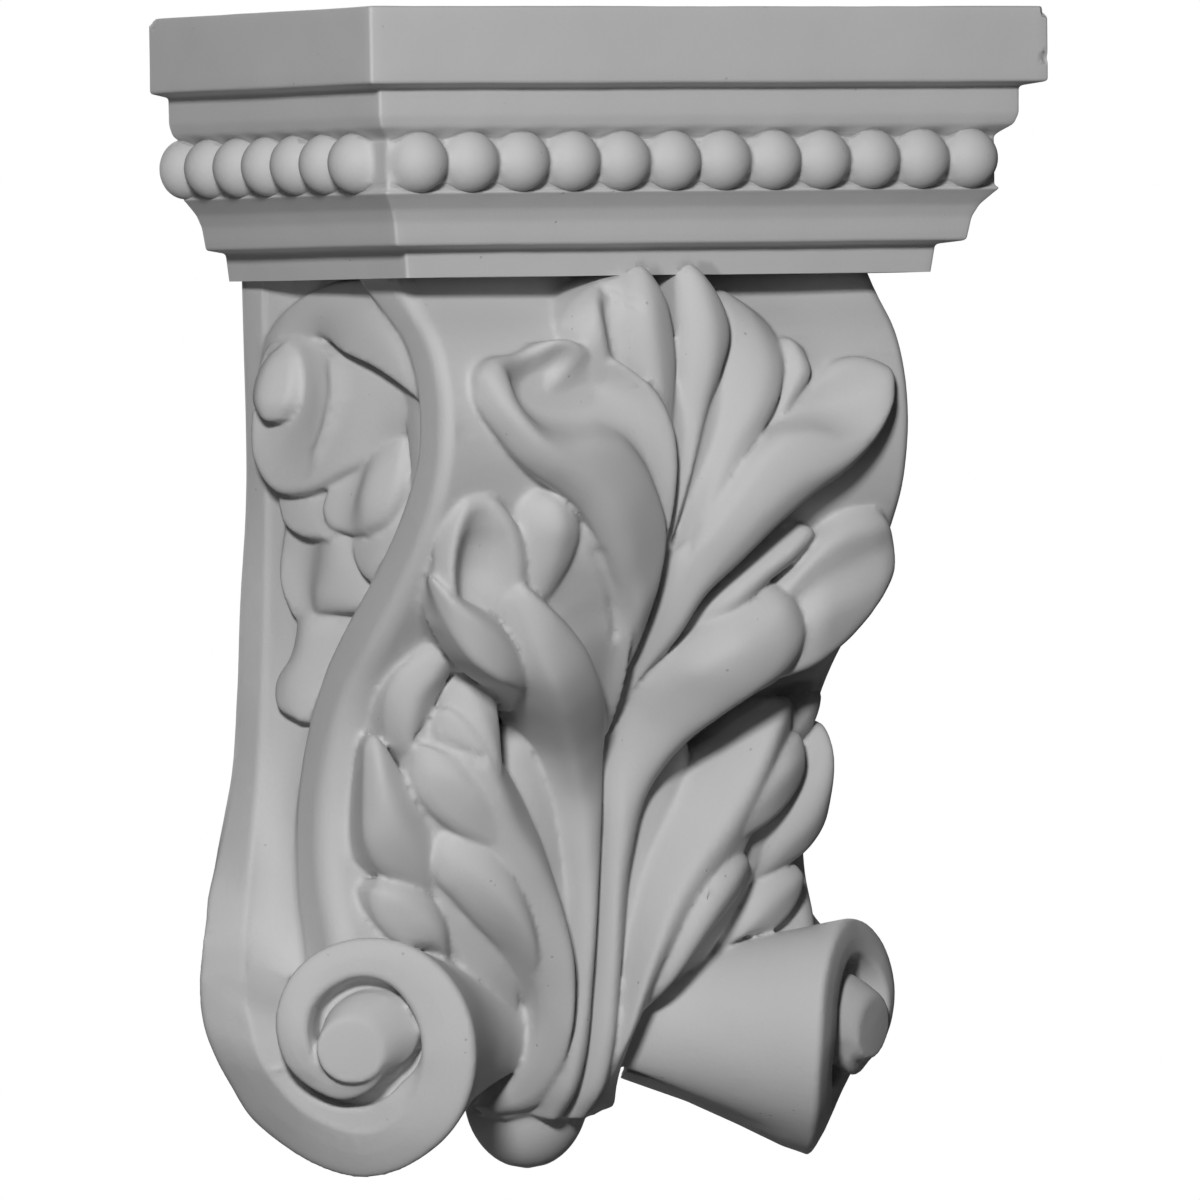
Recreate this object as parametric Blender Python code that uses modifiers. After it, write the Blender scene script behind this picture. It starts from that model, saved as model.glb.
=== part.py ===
"""A cast acanthus corbel: moulded cap with a bead row, scrolled bracket, leaf and turned volutes.

Lengths are in millimetres and become metres when a mesh is made. X runs along the wall, the wall is
the plane Y = 0, the front faces -Y and Z is up. A depth is the distance out from the wall. The origin
is the middle of the back, where the corbel is fixed.
"""

import math

import bmesh
import bpy
import numpy as np

MM = 0.001

# Cap
CAP_WIDTH = 204.0
CAP_DEPTH = 116.0
TOP = 152.0
SOFFIT = 83.2
CAP_PROFILE = [  # height, inset from the top fascia
    (TOP, 0.0), (132.4, 0.0), (131.3, 5.5), (124.2, 5.6), (121.4, 6.6), (119.4, 9.4),
    (118.4, 10.4), (105.6, 10.4), (104.8, 9.4), (103.6, 10.6), (100.6, 13.3), (97.4, 14.8),
    (91.3, 15.9), (90.4, 21.8), (SOFFIT, 22.8),
]
BEAD_RADIUS = 8.0
BEAD_PITCH = 15.1
BEAD_HEIGHT = 112.7
BEAD_INSET = 10.4
FRONT_BEADS = 12
SIDE_BEADS = 7
FIRST_SIDE_BEAD = 90.6

BOTH = (-1, 1)
LEFT = (-1,)
RIGHT = (1,)

# Bracket
BRACKET_TOP = 88.0
BRACKET_FOOT = -98.0
BEHIND_WALL = 4.0
WALL_HALF_WIDTH = 75.5
DRAFT = 5.5 / 95.0
FRONT_HALF_WIDTH = 70.0
CORNER_IN = 2.6
CORNER_REACH = 3.4
FRONT_DEPTH = [  # height, depth of the front arris
    (90.0, 71.0), (82.0, 77.0), (77.5, 81.0), (68.5, 90.0), (57.0, 95.5), (44.0, 96.9), (32.0, 94.8),
    (25.0, 92.0), (19.5, 88.7), (2.0, 75.4), (-10.0, 64.7), (-22.0, 53.0), (-31.5, 46.2),
    (-38.0, 43.2), (-60.0, 37.6), (-75.6, 38.8), (-88.0, 43.0), (-100.0, 44.0), (-110.0, 40.0),
    (-122.0, 28.0), (-132.0, 14.0), (-142.0, 2.0),
]
BAND_DEPTH = [  # height, depth of the side band's inner edge
    (90.0, 48.0), (82.0, 56.0), (78.0, 61.5), (68.0, 74.5), (58.6, 80.3), (47.0, 82.3), (37.0, 81.2),
    (25.0, 75.1), (7.6, 61.0), (-4.4, 48.8), (-15.5, 38.6), (-26.0, 31.4), (-39.0, 25.6),
    (-52.0, 22.3), (-65.0, 21.2), (-76.0, 21.4), (-91.0, 24.3), (-116.0, 24.0),
]
STRIP = [  # height, half-width and depth of the back strip's outer edge, then of its inner edge
    (90.0, 75.5, 0.0, 74.9, 10.6), (20.0, 75.6, 0.0, 74.9, 10.6), (0.0, 77.4, 0.0, 75.5, 10.6),
    (-26.0, 79.0, 0.0, 77.2, 11.0), (-47.0, 80.9, 0.0, 79.2, 11.5), (-57.5, 83.6, 0.3, 81.0, 12.6),
    (-68.0, 87.0, 1.5, 83.4, 14.7), (-77.6, 90.9, 3.5, 84.4, 14.6), (-88.0, 93.6, 6.5, 86.6, 16.4),
    (-98.0, 99.5, 13.8, 91.5, 24.1),
]
RECESS = [(90.0, 8.0), (0.0, 8.0), (-20.0, 6.0), (-40.0, 2.5), (-60.0, 0.8), (-100.0, 0.5)]
HOLLOW = 1.5

# Volutes
EYE = (77.5, 56.8, -115.8)
RIBBON = [  # turn, then radius and rise of the outer edge, the band's inner line and the groove's edge
    (145, 57.4, -26.4, 40.8, -18.5, 27, -21), (149, 54.8, -24.4, 38.4, -14.6, 24, -18),
    (158, 49.7, -15.8, 32.3, -5.3, 20.5, -13.5), (172, 44.1, -10, 27.7, -3, 18.5, -10),
    (184, 40.9, -11, 26, -3.4, 17.8, -9.3), (195, 39, -13.8, 24.6, -4.6, 18.2, -9),
    (209, 38.2, -17, 23.4, -6.6, 18.4, -8.9), (224, 36.3, -18.5, 22.6, -8, 18.1, -9),
    (242, 35, -17.5, 21.5, -8.5, 17, -9), (266, 34.3, -15, 21.3, -8, 15.6, -8.5),
    (280, 33.3, -12.8, 20.8, -7.2, 15, -8), (297, 32.2, -10, 19.5, -6, 14.4, -7),
    (320, 31.8, -6.8, 18, -5, 14, -7), (340, 31.5, -5, 17.2, -4, 15.5, -6.5),
    (355, 31.3, -4, 17.2, -3, 16.9, -5), (390, 31, -3.2, 17.8, -2.4, 17.5, -4),
    (430, 30, -1.6, 19.4, -0.9, 19.1, -3), (450, 28.7, -0.4, 18.8, 0.4, 18.5, -1.8),
    (463, 27.8, 1, 17.8, 1.4, 17.5, -1), (487, 25.6, 3.4, 15.8, 3.6, 15.5, 1),
    (510, 22.7, 4.6, 13.2, 4.6, 12.9, 1.6),
    (533, 20, 4, 11.2, 4.2, 10.9, 1.6), (556, 18, 2.2, 10.2, 2.6, 9.9, 0.6),
    (580, 16, -0.8, 8, 0.8, 7.6, 0), (610, 14.2, -2.2, 5, 0.8, 4, 0), (640, 11.8, -2.3, 3, 0.8, 2.5, 0),
    (680, 9.5, -1.5, 2, 0.8, 1.5, 0),
]
RIBBON_START = 145.0
RIBBON_MERGE = 14.0
RIBBON_SINK = 2.2
RIBBON_BACK = 13.0
RIBBON_TAPER = 8.0
GROOVE_FLOOR = -13.0
KNOB_FOOT = [  # turn, radius where the knob meets the groove's floor
    (-30, 10.4), (-12, 12.5), (4, 14.4), (15, 15.6), (30, 16.1), (60, 16.4), (75, 15.6), (89, 15),
    (104, 13.9), (125, 12.4), (146, 10.7), (169, 9.9), (190, 9.9), (300, 10.0), (330, 10.4),
]
KNOB = [  # rise, share of the way in from the foot to the disc's edge
    (-14.0, -0.1), (-8.0, 0.0), (-4.5, 0.12), (-1.6, 0.4), (1.6, 0.82), (2.6, 1.0), (3.0, 1.15),
]
KNOB_DISC = 8.6
KNOB_LEAN = 0.1
KNOB_TURN = -0.27
HORN = [  # half-width, depth, height and radius along the horn, from the middle out
    (0.0, 33.0, -106.0, 14.4), (24.0, 33.4, -110.0, 16.6), (44.0, 36.0, -114.2, 20.8),
]
HORN_LEAN = (0.0, 6.0, 24.0)
HORN_WIDEST = 34.5
BACK_FILL = [  # distance behind the face, share of the scroll's width and of its height
    (1.0, 1.0, 1.0), (8.0, 0.985, 0.93), (20.0, 0.95, 0.76), (34.0, 0.9, 0.58), (52.0, 0.85, 0.4),
]
ROOT_TOP = -88.0
ROOT = [  # half-width, depth, and heights of its underside at the horn and at the wall
    (-6.0, 33.0, -109.0, -103.0), (0.0, 33.0, -109.0, -103.0), (24.0, 33.4, -113.0, -108.0),
    (44.0, 36.0, -118.0, -116.0), (58.0, 22.0, -109.0, -109.0), (72.0, 8.0, -99.0, -99.0),
]
FOOT = (0.0, 12.5, -132.0)
FOOT_RADIUS = 16.5
FOOT_HALF_HEIGHT = 20.0

# Leaf: each lobe is skinned over rails that run from its root to its tip, inner edge first.
# roll is the radius of its rounded rim, and thick how far its underside lies behind its face.
LOBES = {
    "crown": dict(
        sides=LEFT, roll=3.0,
        rails=[
            [(0.4, -6, 74), (0.4, 30, 91.5), (0.5, 51, 96), (0.9, 64, 97.5), (1.8, 72, 97),
             (3.6, 78.5, 96.5),
             (6, 83, 95.5), (7.5, 85, 95)],
            [(1, -6, 76), (3.3, 30, 95), (7, 50, 98.5), (9.6, 62, 100.5), (10.8, 70, 100.8), (11, 77, 99.5),
             (10.6, 82.5, 97), (10.2, 86, 95)],
            [(1.8, -6, 74), (6, 34, 94), (10.8, 50, 96), (14.5, 58.8, 97), (17.5, 68.4, 97), (18, 75, 96.5),
             (16.5, 80.5, 96), (13.5, 84.5, 95)],
        ],
    ),
    "crown_second": dict(
        sides=RIGHT, roll=3.0,
        rails=[
            [(0.4, -6, 74), (0.4, 30, 91.5), (0.4, 51, 96), (0.4, 64, 97), (0.4, 73, 96.5), (0.6, 80, 95.5),
             (1.2, 83.5, 95), (2.2, 85.2, 94.8)],
            [(1, -6, 76), (3, 30, 95), (5.8, 50, 98.5), (7.8, 62, 100.5), (8, 70, 100.5), (7, 77, 99),
             (6, 82.5, 97), (5.2, 86.3, 95)],
            [(1.8, -6, 74), (6, 34, 94), (10, 50, 96.5), (13.2, 58.8, 97.5), (15.6, 67, 97.5), (15, 73, 97),
             (12.5, 79, 96), (8.4, 84.6, 95)],
        ],
    ),
    "crown_right": dict(
        sides=RIGHT, roll=3.0,
        rails=[
            [(1.2, -6, 74), (5, 20, 91), (9, 42, 94), (13.5, 58, 94.5), (17, 70, 92), (18, 76, 88),
             (20.4, 79, 84)],
            [(1.6, -6, 75), (8, 20, 95), (15, 38, 99), (21.5, 50, 100.5), (25.5, 60, 98.5),
             (26.5, 68, 94), (25.5, 74, 89), (22, 79, 84)],
            [(2.2, -6, 74), (9, 14, 93), (17, 30, 97.5), (24, 42, 99), (30, 52.6, 99), (32.5, 60, 96.5),
             (33.5, 66, 92), (32.4, 71, 87.5), (26.7, 76.5, 84), (22, 79.5, 83)],
        ],
    ),
    "crown_left": dict(
        sides=LEFT, roll=3.0,
        rails=[
            [(6, 38, 88), (9, 52, 94), (10.5, 62, 97.5), (11, 70, 98.5), (11.5, 76, 98), (11.5, 81, 96.5),
             (11.5, 84.8, 94.5)],
            [(10, 38, 88), (13.5, 52, 94), (15.5, 61, 96.5), (16.5, 68.5, 97.5), (16.8, 74, 97.5),
             (16.8, 79, 96.5), (16.8, 83.6, 94)],
            [(12, 38, 88), (16, 52, 93.5), (18.8, 61, 95), (20.4, 68.5, 95), (20.8, 74, 94.5),
             (20.8, 78.5, 94.5), (20.8, 82, 93.5)],
            [(14, 38, 88), (19, 52, 94.5), (22.6, 61, 98.5), (24.8, 67.5, 100), (25.6, 72.5, 99.5),
             (25.6, 76.6, 97.5), (25.2, 79.8, 93.8)],
            [(17, 39, 86), (23.5, 52, 93), (27.6, 60.5, 97), (29.6, 66, 98), (30, 70.5, 97),
             (29.6, 74, 95.5),
             (28.8, 76.8, 93)],
            [(20, 40, 84), (26.5, 52.5, 90), (30.6, 60, 93), (32.4, 65.5, 93.5), (32.6, 69, 93.5),
             (32, 72, 93), (30.8, 74, 92.5)],
        ],
    ),
    "great_left": dict(
        sides=LEFT, roll=3.0,
        rails=[
            [(1.4, -34, 56), (3.2, -24, 66.5), (6.8, -13, 79.5), (9.8, -8, 84.5), (12.8, -2, 89),
             (17, 4, 93.5), (22.6, 11.3, 98), (28, 18, 101), (33.4, 23.7, 103), (40, 28.2, 104),
             (46.5, 32, 104.5), (52.3, 36.5, 104.5), (56.8, 42, 103.5), (60.7, 47.5, 102),
             (62.4, 51, 101), (62.8, 54.5, 100.5)],
            [(1.4, -34, 57.5), (2.8, -24, 67.5), (5.5, -12, 81), (8.5, -3, 90), (12.5, 6, 95.5),
             (17.5, 15, 101), (23.5, 23, 105), (30, 29.3, 107), (37, 33.2, 108), (43.5, 36.3, 108.5),
             (49.5, 40.5, 108.5), (54, 45, 107.8), (57.8, 50, 106), (60, 54.5, 104), (62.2, 58.5, 101.5)],
            [(1.1, -34, 57.5), (2.2, -24, 67.5), (3.9, -10, 82), (4.6, 4, 92.3), (5.6, 15, 97),
             (10.3, 25.2, 101), (15.9, 32.8, 103.5), (22.2, 38.4, 105), (28.6, 40.2, 106),
             (39.7, 41, 106.5), (46.2, 42.8, 106.5), (51, 46.8, 106), (54.2, 51.5, 105),
             (55.8, 56.5, 103.5),
             (58.4, 61.8, 101)],
            [(1, -34, 57), (1.9, -24, 66.5), (3.2, -10, 81), (3.7, 5, 90.5), (4.6, 17, 94.5),
             (8.2, 27.6, 96.5), (12.6, 36.4, 97.5), (18, 42.6, 97.5), (24.5, 46, 97), (36, 46.8, 96.5),
             (43, 48.5, 96), (47.8, 51.8, 95.8), (50.3, 55.5, 96.5), (51.8, 59.3, 98.3),
             (53.5, 62.9, 99.8)],
            [(0.8, -34, 56.3), (1.3, -24, 65), (2, -10, 79.5), (2.6, 6, 89.8), (3.4, 18, 94),
             (6.3, 30, 96.8), (9.5, 40, 98.3), (14, 47.5, 98), (20.5, 52.5, 96.3), (26, 54.8, 94.8),
             (31, 56.5, 95.5), (35.5, 58, 96.5), (39.5, 58.8, 94), (43.5, 60.5, 95.3), (49.5, 63.2, 98.5)],
            [(0.5, -34, 55.5), (0.6, -24, 63.5), (0.9, -10, 78.3), (1.6, 4, 89.3), (2.1, 14, 94.3),
             (1.7, 26.5, 98.2), (2.3, 36, 100.5), (5, 46, 102), (10.5, 54.2, 102.5), (16.5, 59, 102),
             (21, 61.8, 101.3), (25, 63.3, 98.8), (29.5, 65, 100.3), (35, 66.9, 101.5), (40, 66.8, 101),
             (43.5, 65.6, 98.5), (46.3, 64.2, 97.5)],
        ],
    ),
    "great_right": dict(
        sides=RIGHT, roll=3.0,
        rails=[
            [(1.5, -34, 56), (3.5, -24, 66), (8, -12, 81), (12, 0, 90.5), (19.5, 8.5, 96), (28.5, 18, 100),
             (37.5, 25.5, 102.5), (46, 31, 104), (52.5, 36.5, 104.5), (58, 42.5, 103.5), (61.8, 48.5, 102),
             (63.2, 53.5, 100.5)],
            [(1.2, -34, 57.5), (2.8, -22, 70), (5.5, -8, 85.5), (8, 2, 92.5), (13.5, 12, 98.5),
             (21, 21.5, 103), (30, 29.5, 106), (38, 33, 107.5), (46, 36.5, 108), (52.5, 41, 107.5),
             (58, 47, 106), (62, 52.5, 103), (63.6, 56, 101)],
            [(0.9, -34, 57.5), (2, -22, 69.5), (3.5, -8, 84), (4.2, 4, 91), (7.3, 16.7, 97),
             (14.6, 28.1, 101), (22, 36.5, 103.5), (28.7, 40.5, 105), (36, 41.5, 106), (43, 41, 106.5),
             (49, 42.5, 106.5), (55, 47.5, 105.5), (60, 54, 103), (62.8, 58, 101.3)],
            [(0.7, -34, 56.5), (1.4, -22, 68), (2.2, -8, 82), (3, 6, 90.5), (6, 16.5, 93.5),
             (12.5, 28, 95.5),
             (19.5, 37.5, 96.5), (27, 44, 96.5), (34.5, 47.5, 97), (42, 49, 98), (48.5, 51, 99.5),
             (54, 55, 100.5), (58.5, 58, 101), (60.8, 59.6, 100.8)],
            [(0.4, -34, 55.5), (0.4, -24, 63), (0.5, -10, 78), (1, 4, 88), (1.8, 11, 91), (5.2, 15, 93),
             (10.8, 24, 95), (18.8, 35.5, 97), (30.2, 47.5, 97.5), (36, 52.5, 97), (42.3, 57, 97),
             (48.6, 60.6, 98), (54, 61.5, 99), (58, 60.8, 100)],
        ],
    ),
    "finger": dict(
        sides=RIGHT, roll=2.0,
        rails=[
            [(22, 36, 90), (29, 49, 94.5), (31, 58, 94.5), (31.5, 65, 92)],
            [(26, 36, 92), (32, 50, 97.5), (35.5, 59, 98.5), (35.5, 66.5, 94)],
            [(30, 36, 90), (36, 50, 96), (39.5, 57, 98), (40, 63.5, 94)],
        ],
    ),
    "web": dict(
        sides=LEFT, roll=1.5,
        rails=[
            [(9, -37, 60), (14, -30, 69), (19.5, -22, 76.5), (26, -14.5, 81.5), (34, -8, 84), (40, -2, 86),
             (43, 4, 89.5), (43.5, 10, 92), (43, 15, 93)],
            [(4, -36, 60), (6.5, -28, 68), (9.5, -17, 76.5), (11.5, -9.5, 81.5), (13.5, -4, 84.5),
             (17.5, 2, 88.5), (24, 10.5, 93), (30, 19, 95)],
            [(1, -36, 60), (3, -28, 69.5), (5.5, -17, 79), (8, -9, 85), (10.5, -2, 90), (14, 5, 94.5),
             (19, 12, 98), (23, 17, 99.5)],
        ],
    ),
    "thumb": dict(
        sides=LEFT, roll=3.5,
        rails=[
            [(34, -8, 78), (31.5, 3, 88), (29.8, 11, 93.5), (29.4, 18.5, 96), (31, 23.7, 96),
             (34.5, 27.2, 95.5), (38, 28.9, 94.5)],
            [(38, -9, 79), (37.5, 3, 90.5), (37.5, 12, 96.5), (38, 19, 99.5), (38.8, 24.5, 98.5),
             (40.2, 28.9, 94.8)],
            [(42, -8, 77), (44, 3, 87.5), (45, 11, 91.5), (46.3, 17, 92.8), (46.6, 22, 93.3),
             (45.2, 26.3, 93.8), (42, 28.8, 94.2)],
        ],
    ),
    "leaflet": dict(
        sides=RIGHT, roll=2.5,
        rails=[
            [(9, -12, 72), (16, -1, 85), (24, 7, 88), (32, 13, 89.5), (39, 18.5, 90)],
            [(12, -14, 73), (20, -3, 87.5), (28, 5, 91), (36, 11, 92.5), (43, 17, 92)],
            [(15, -16, 71), (24, -5, 85), (32, 3, 88.5), (40, 9, 90), (45.5, 14.5, 90)],
        ],
    ),
    "fan_left": dict(
        sides=LEFT, roll=2.0, thick=[(0, 30), (0.5, 20), (1, 10)],
        rails=[
            [(34, -18, 74), (39, -4, 85), (41.5, 5, 89), (43, 11, 91.5), (45.8, 17.5, 93),
             (50.3, 23.6, 94), (54, 26.8, 94), (56.5, 28.2, 93)],
            [(38, -18, 74), (43, -5, 86), (45.8, 4, 90.5), (47.3, 10.5, 93), (49.5, 16.5, 94.5),
             (52.5, 21.5, 95), (55.3, 25.3, 94.5), (57.8, 28.4, 93)],
            [(42, -18, 73), (48.5, -6, 83), (52, 1, 85), (52.8, 8, 86.5), (53.6, 14, 89), (55.5, 20, 92.5),
             (57.5, 25, 94), (59.3, 28.2, 93)],
            [(45, -18, 73), (53, -7, 82), (58, 0, 83.5), (59, 8, 84.5), (59.4, 14, 87.5), (59.8, 20, 92),
             (60.2, 24.8, 94), (60.6, 27.8, 93)],
            [(48, -18, 74), (57, -9, 86), (64, -1, 90), (66, 7, 91.5), (66.2, 14, 92.5), (65.4, 20, 93.5),
             (63.6, 24.6, 93.8), (61.8, 27.3, 93)],
            [(50, -19, 73), (59, -11, 84), (66.5, -2, 87), (68.4, 8, 88), (68.4, 15, 88.5),
             (67.3, 20.5, 90), (65.4, 24.5, 91.2), (63, 26.8, 92)],
        ],
    ),
    "fan_left_low": dict(
        sides=LEFT, roll=2.0, thick=[(0, 25), (0.5, 16), (1, 9)],
        rails=[
            [(33, -24, 64), (42, -11, 81.5), (49, -4.5, 84), (55, -1.5, 86), (61, 1, 88), (66.5, 4.2, 89),
             (70.3, 7.3, 88.5)],
            [(33, -28, 66), (42, -18, 85.5), (51, -10.5, 91), (58, -6, 92.5), (63.5, -2.3, 92.3),
             (67.8, 1.9, 91), (70.5, 6.6, 88.8)],
            [(33, -30, 64), (42, -23.5, 83.5), (51, -20.5, 89), (58.5, -15.8, 90), (63.8, -9.5, 89.5),
             (68, -1.5, 88.5), (70.4, 5.5, 88)],
        ],
    ),
    "fan_right": dict(
        sides=RIGHT, roll=2.5, thick=[(0, 30), (0.5, 20), (1, 10)],
        rails=[
            [(22, -12, 68), (32, 0, 83), (40, 8, 87), (46, 16, 88.5), (52, 21.3, 89.5), (58, 23, 90),
             (63, 23, 90)],
            [(25, -14, 69), (35, -2, 86), (43.4, 9, 91.5), (49, 13.2, 93), (54.2, 15.5, 93.5),
             (60.5, 17, 93.5), (66.5, 18, 92)],
            [(27, -16, 69), (38, -5, 85), (46, 2.5, 90), (53, 6, 91), (59, 8.5, 91.2), (64.5, 10.5, 91),
             (69.8, 12, 89.5)],
            [(28, -19, 69), (38, -10, 86), (46, -4.5, 91), (53, -2, 91.5), (59, 0, 91.5), (65, 2.5, 91),
             (70, 5, 89)],
            [(29, -22, 68), (38, -15, 85), (46, -10, 90), (52.5, -7.5, 90.3), (58.5, -6, 90),
             (63.5, -4.5, 89.3), (67, -1.5, 88)],
            [(30, -27, 66), (38, -22.6, 83), (46, -19.8, 86), (52.9, -15.7, 87), (58, -12, 87),
             (61.5, -8.5, 87), (64, -5, 87)],
        ],
    ),
    "middle_left": dict(
        sides=LEFT, roll=3.0, thick=[(0, 9), (0.1, 30), (0.6, 30), (0.8, 18), (1, 9)],
        rails=[
            [(0.4, -138, 33), (0.4, -130, 41), (0.4, -120, 46), (0.4, -100, 49), (0.4, -60, 54.5),
             (0.4, -38, 55.5), (3, -32, 62), (9, -27.5, 72), (16, -20.5, 81), (22, -13.5, 86), (29, -7, 89),
             (36, -1.5, 90.5), (41, 2.3, 91.5), (45, 5.2, 91.5)],
            [(2.6, -138, 34), (3, -130, 43), (3, -120, 48), (3, -100, 52.5), (3, -60, 58), (4.5, -44, 61),
             (8, -36, 68), (14, -29, 77.5), (20, -22, 85), (26, -15.5, 89.5), (32, -9.5, 92),
             (38, -3.5, 93.5), (43, 0.8, 93.2), (46.5, 4, 92)],
            [(5, -138, 34), (5.5, -130, 43), (5.5, -120, 48), (5.5, -100, 52), (6.5, -69, 57),
             (10, -52, 61),
             (15.5, -43, 67), (22.5, -35, 76), (29, -28, 84.5), (34.5, -21, 90), (39, -13.5, 92),
             (43, -6, 92.3), (46, -1, 91.5), (47.8, 2.5, 90.5)],
            [(7.5, -137, 31), (8.7, -128, 40), (8.7, -120, 44), (8.5, -100, 48), (9, -85, 50),
             (10.2, -69, 52.2), (14.8, -51, 55.5), (19.5, -41.5, 60), (27, -33.5, 68), (34, -27, 78.5),
             (39.5, -20.5, 86), (43.6, -13.7, 88), (46.8, -6.5, 88.3), (48.8, 0, 88.8)],
        ],
    ),
    "middle_right": dict(
        sides=RIGHT, roll=3.0, thick=[(0, 9), (0.1, 30), (0.6, 30), (0.8, 18), (1, 9)],
        rails=[
            [(0.4, -138, 33), (0.4, -130, 41), (0.4, -120, 46), (0.4, -100, 49), (0.4, -60, 54.5),
             (0.4, -38, 55.5), (1, -28.3, 60.4), (4, -20.7, 70.6), (10, -12.2, 79.5), (18.6, -3.8, 85),
             (26.6, 0.9, 86), (33.4, 3.1, 86), (37.6, 1.6, 86.5)],
            [(2.6, -138, 34), (3, -130, 43), (3, -120, 48), (3, -100, 52.5), (3, -60, 58), (4, -45, 60),
             (6, -34, 66), (9, -26, 76), (13, -19.5, 86), (20, -14, 91), (28, -8.5, 92), (34, -3.5, 91.5),
             (39.5, -1.2, 88)],
            [(5, -138, 34), (5.5, -130, 43), (5.5, -120, 48), (5.5, -100, 52), (6.2, -68, 57), (9, -50, 61),
             (13, -40, 69), (20, -31, 81), (28, -23, 89), (34, -16, 91.5), (39, -10, 91), (41.6, -4.5, 88)],
            [(7.5, -137, 31), (8.7, -128, 40), (8.7, -120, 44), (8.5, -100, 48), (9, -85, 50),
             (10.2, -69, 52.2), (13.5, -52, 56.5), (18, -42.5, 62), (24, -33.5, 71), (30, -27, 81),
             (36, -22.5, 86.5), (41, -17, 87.5), (42.8, -12, 87.5), (42.8, -7, 87)],
        ],
    ),
    "under": dict(
        sides=BOTH, roll=2.0, thick=[(0, 9), (0.1, 20), (1, 30)],
        rails=[
            [(12, -138.5, 24), (5, -136, 30), (2.5, -128, 37), (2, -118, 42), (3, -104, 45), (4, -92, 46.5),
             (5, -80, 48), (7, -70, 49), (10.5, -58, 51), (15, -48, 53), (20, -40, 54), (23, -34, 53.5)],
            [(17, -137, 23), (9.5, -132, 31), (7.5, -122, 38.5), (8.5, -110, 44), (11.5, -98, 47.5),
             (15.5, -86, 49.5), (19.5, -74, 51), (24, -62, 52), (27.5, -50, 52), (28.5, -42, 52),
             (27, -35, 51.5)],
        ],
    ),
    "blade": dict(
        sides=BOTH, roll=2.0, thick=[(0, 8), (0.08, 14), (0.2, 30), (1, 20)],
        rails=[
            [(16, -137, 25), (8.5, -134.5, 33), (6, -127.5, 39), (6.8, -118, 43), (8, -107, 45.5),
             (9.5, -92, 46.5), (11.5, -77, 46), (14.5, -64, 45), (19, -53, 45.5), (24.5, -46, 47.5),
             (30, -41.5, 50.5), (36, -37.5, 55), (41, -32.5, 59.5), (47, -28, 63)],
            [(17, -136.5, 26), (10, -133, 34.5), (7.3, -126, 42), (7.8, -116.5, 48.5), (9, -105, 52.5),
             (11, -92.5, 54.5), (14.5, -79, 56), (19.5, -67, 57), (25.5, -56.5, 58), (31, -47.5, 59.5),
             (36.5, -40.5, 62), (42, -34, 64.5), (49.5, -28, 64.3)],
            [(18, -136, 26.5), (11.5, -131.5, 35.5), (9, -124.5, 44), (9.2, -115, 51.5), (10.6, -103, 56.5),
             (13, -93, 59.5), (17.5, -81.5, 61.5), (24, -70, 63.5), (31.5, -59.5, 65), (37, -50, 67),
             (42.5, -40, 68), (48, -32, 66.5), (52, -28, 64)],
            [(19.8, -134.4, 26), (16.5, -128, 33.5), (14.7, -120, 41), (15, -112, 46.5), (17.8, -103, 50.5),
             (24, -94, 53), (32, -85, 55), (38, -76, 57), (42, -66, 59), (47, -55, 60.5), (51, -45, 61.5),
             (54.2, -36, 61.5), (54, -30, 62)],
        ],
    ),
    "first_tip": dict(
        sides=LEFT, roll=2.5, thick=[(0, 25), (0.6, 18), (1, 10)],
        rails=[
            [(34, -50, 63), (36, -40, 65), (36.5, -32, 65), (37.5, -26, 65), (41, -20.5, 64),
             (44.5, -17.5, 63.5)],
            [(38, -50, 66), (40.5, -41, 68), (43, -33, 68), (45, -26, 66.5), (46.5, -20.5, 65),
             (46.6, -17.3, 63.5)],
            [(44, -48, 62), (47.5, -40, 63), (50, -34, 63), (51.2, -28, 62), (50.6, -22, 62),
             (48.5, -18.5, 62.5)],
        ],
    ),
    "second_tip": dict(
        sides=BOTH, roll=2.5, thick=[(0, 25), (0.6, 18), (1, 9)],
        rails=[
            [(28, -62, 61), (36, -52, 63.5), (44, -44, 64.5), (51, -39, 63.5), (56, -37, 61.5),
             (58.8, -38.2, 60)],
            [(30, -66, 62), (38, -57, 65), (46, -50, 66.5), (52, -45.5, 65.5), (57, -43, 62.5),
             (59.3, -42, 60.3)],
            [(32, -70, 60), (40, -64.5, 62), (47.5, -60.5, 62), (54.5, -55, 61), (58.6, -49, 60.3),
             (59.6, -45, 60)],
        ],
    ),
    "third_tip_left": dict(
        sides=LEFT, roll=2.5, thick=[(0, 20), (0.6, 14), (1, 8)],
        rails=[
            [(14, -106, 40), (20, -92, 55.5), (26, -80, 60.5), (33, -70, 62), (40, -63.5, 61),
             (46, -60.5, 58.5),
             (50, -61, 56.5)],
            [(15, -107, 40), (22, -94, 56.5), (29, -83.5, 62), (36, -75.5, 63), (43, -69.5, 61.5),
             (48.5, -65.5, 58.5), (51, -64.3, 56.5)],
            [(16, -110, 34), (21.5, -101, 43), (28, -93, 51), (38, -84.5, 55.5), (45, -78, 56.5),
             (49.5, -73.3, 56.3),
             (51.3, -68.5, 56)],
        ],
    ),
    "third_tip_right": dict(
        sides=RIGHT, roll=2.5, thick=[(0, 20), (0.6, 14), (1, 8)],
        rails=[
            [(12, -114, 40), (16, -100, 55), (19.5, -90, 60), (24, -80, 62), (29, -72.5, 62),
             (35, -68.3, 60.5),
             (39.5, -67.8, 58)],
            [(14, -114, 40), (19, -101, 56.5), (24, -90, 62), (29, -81.5, 64), (34.5, -75, 63.5),
             (39, -71, 61),
             (42, -69.3, 58)],
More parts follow.
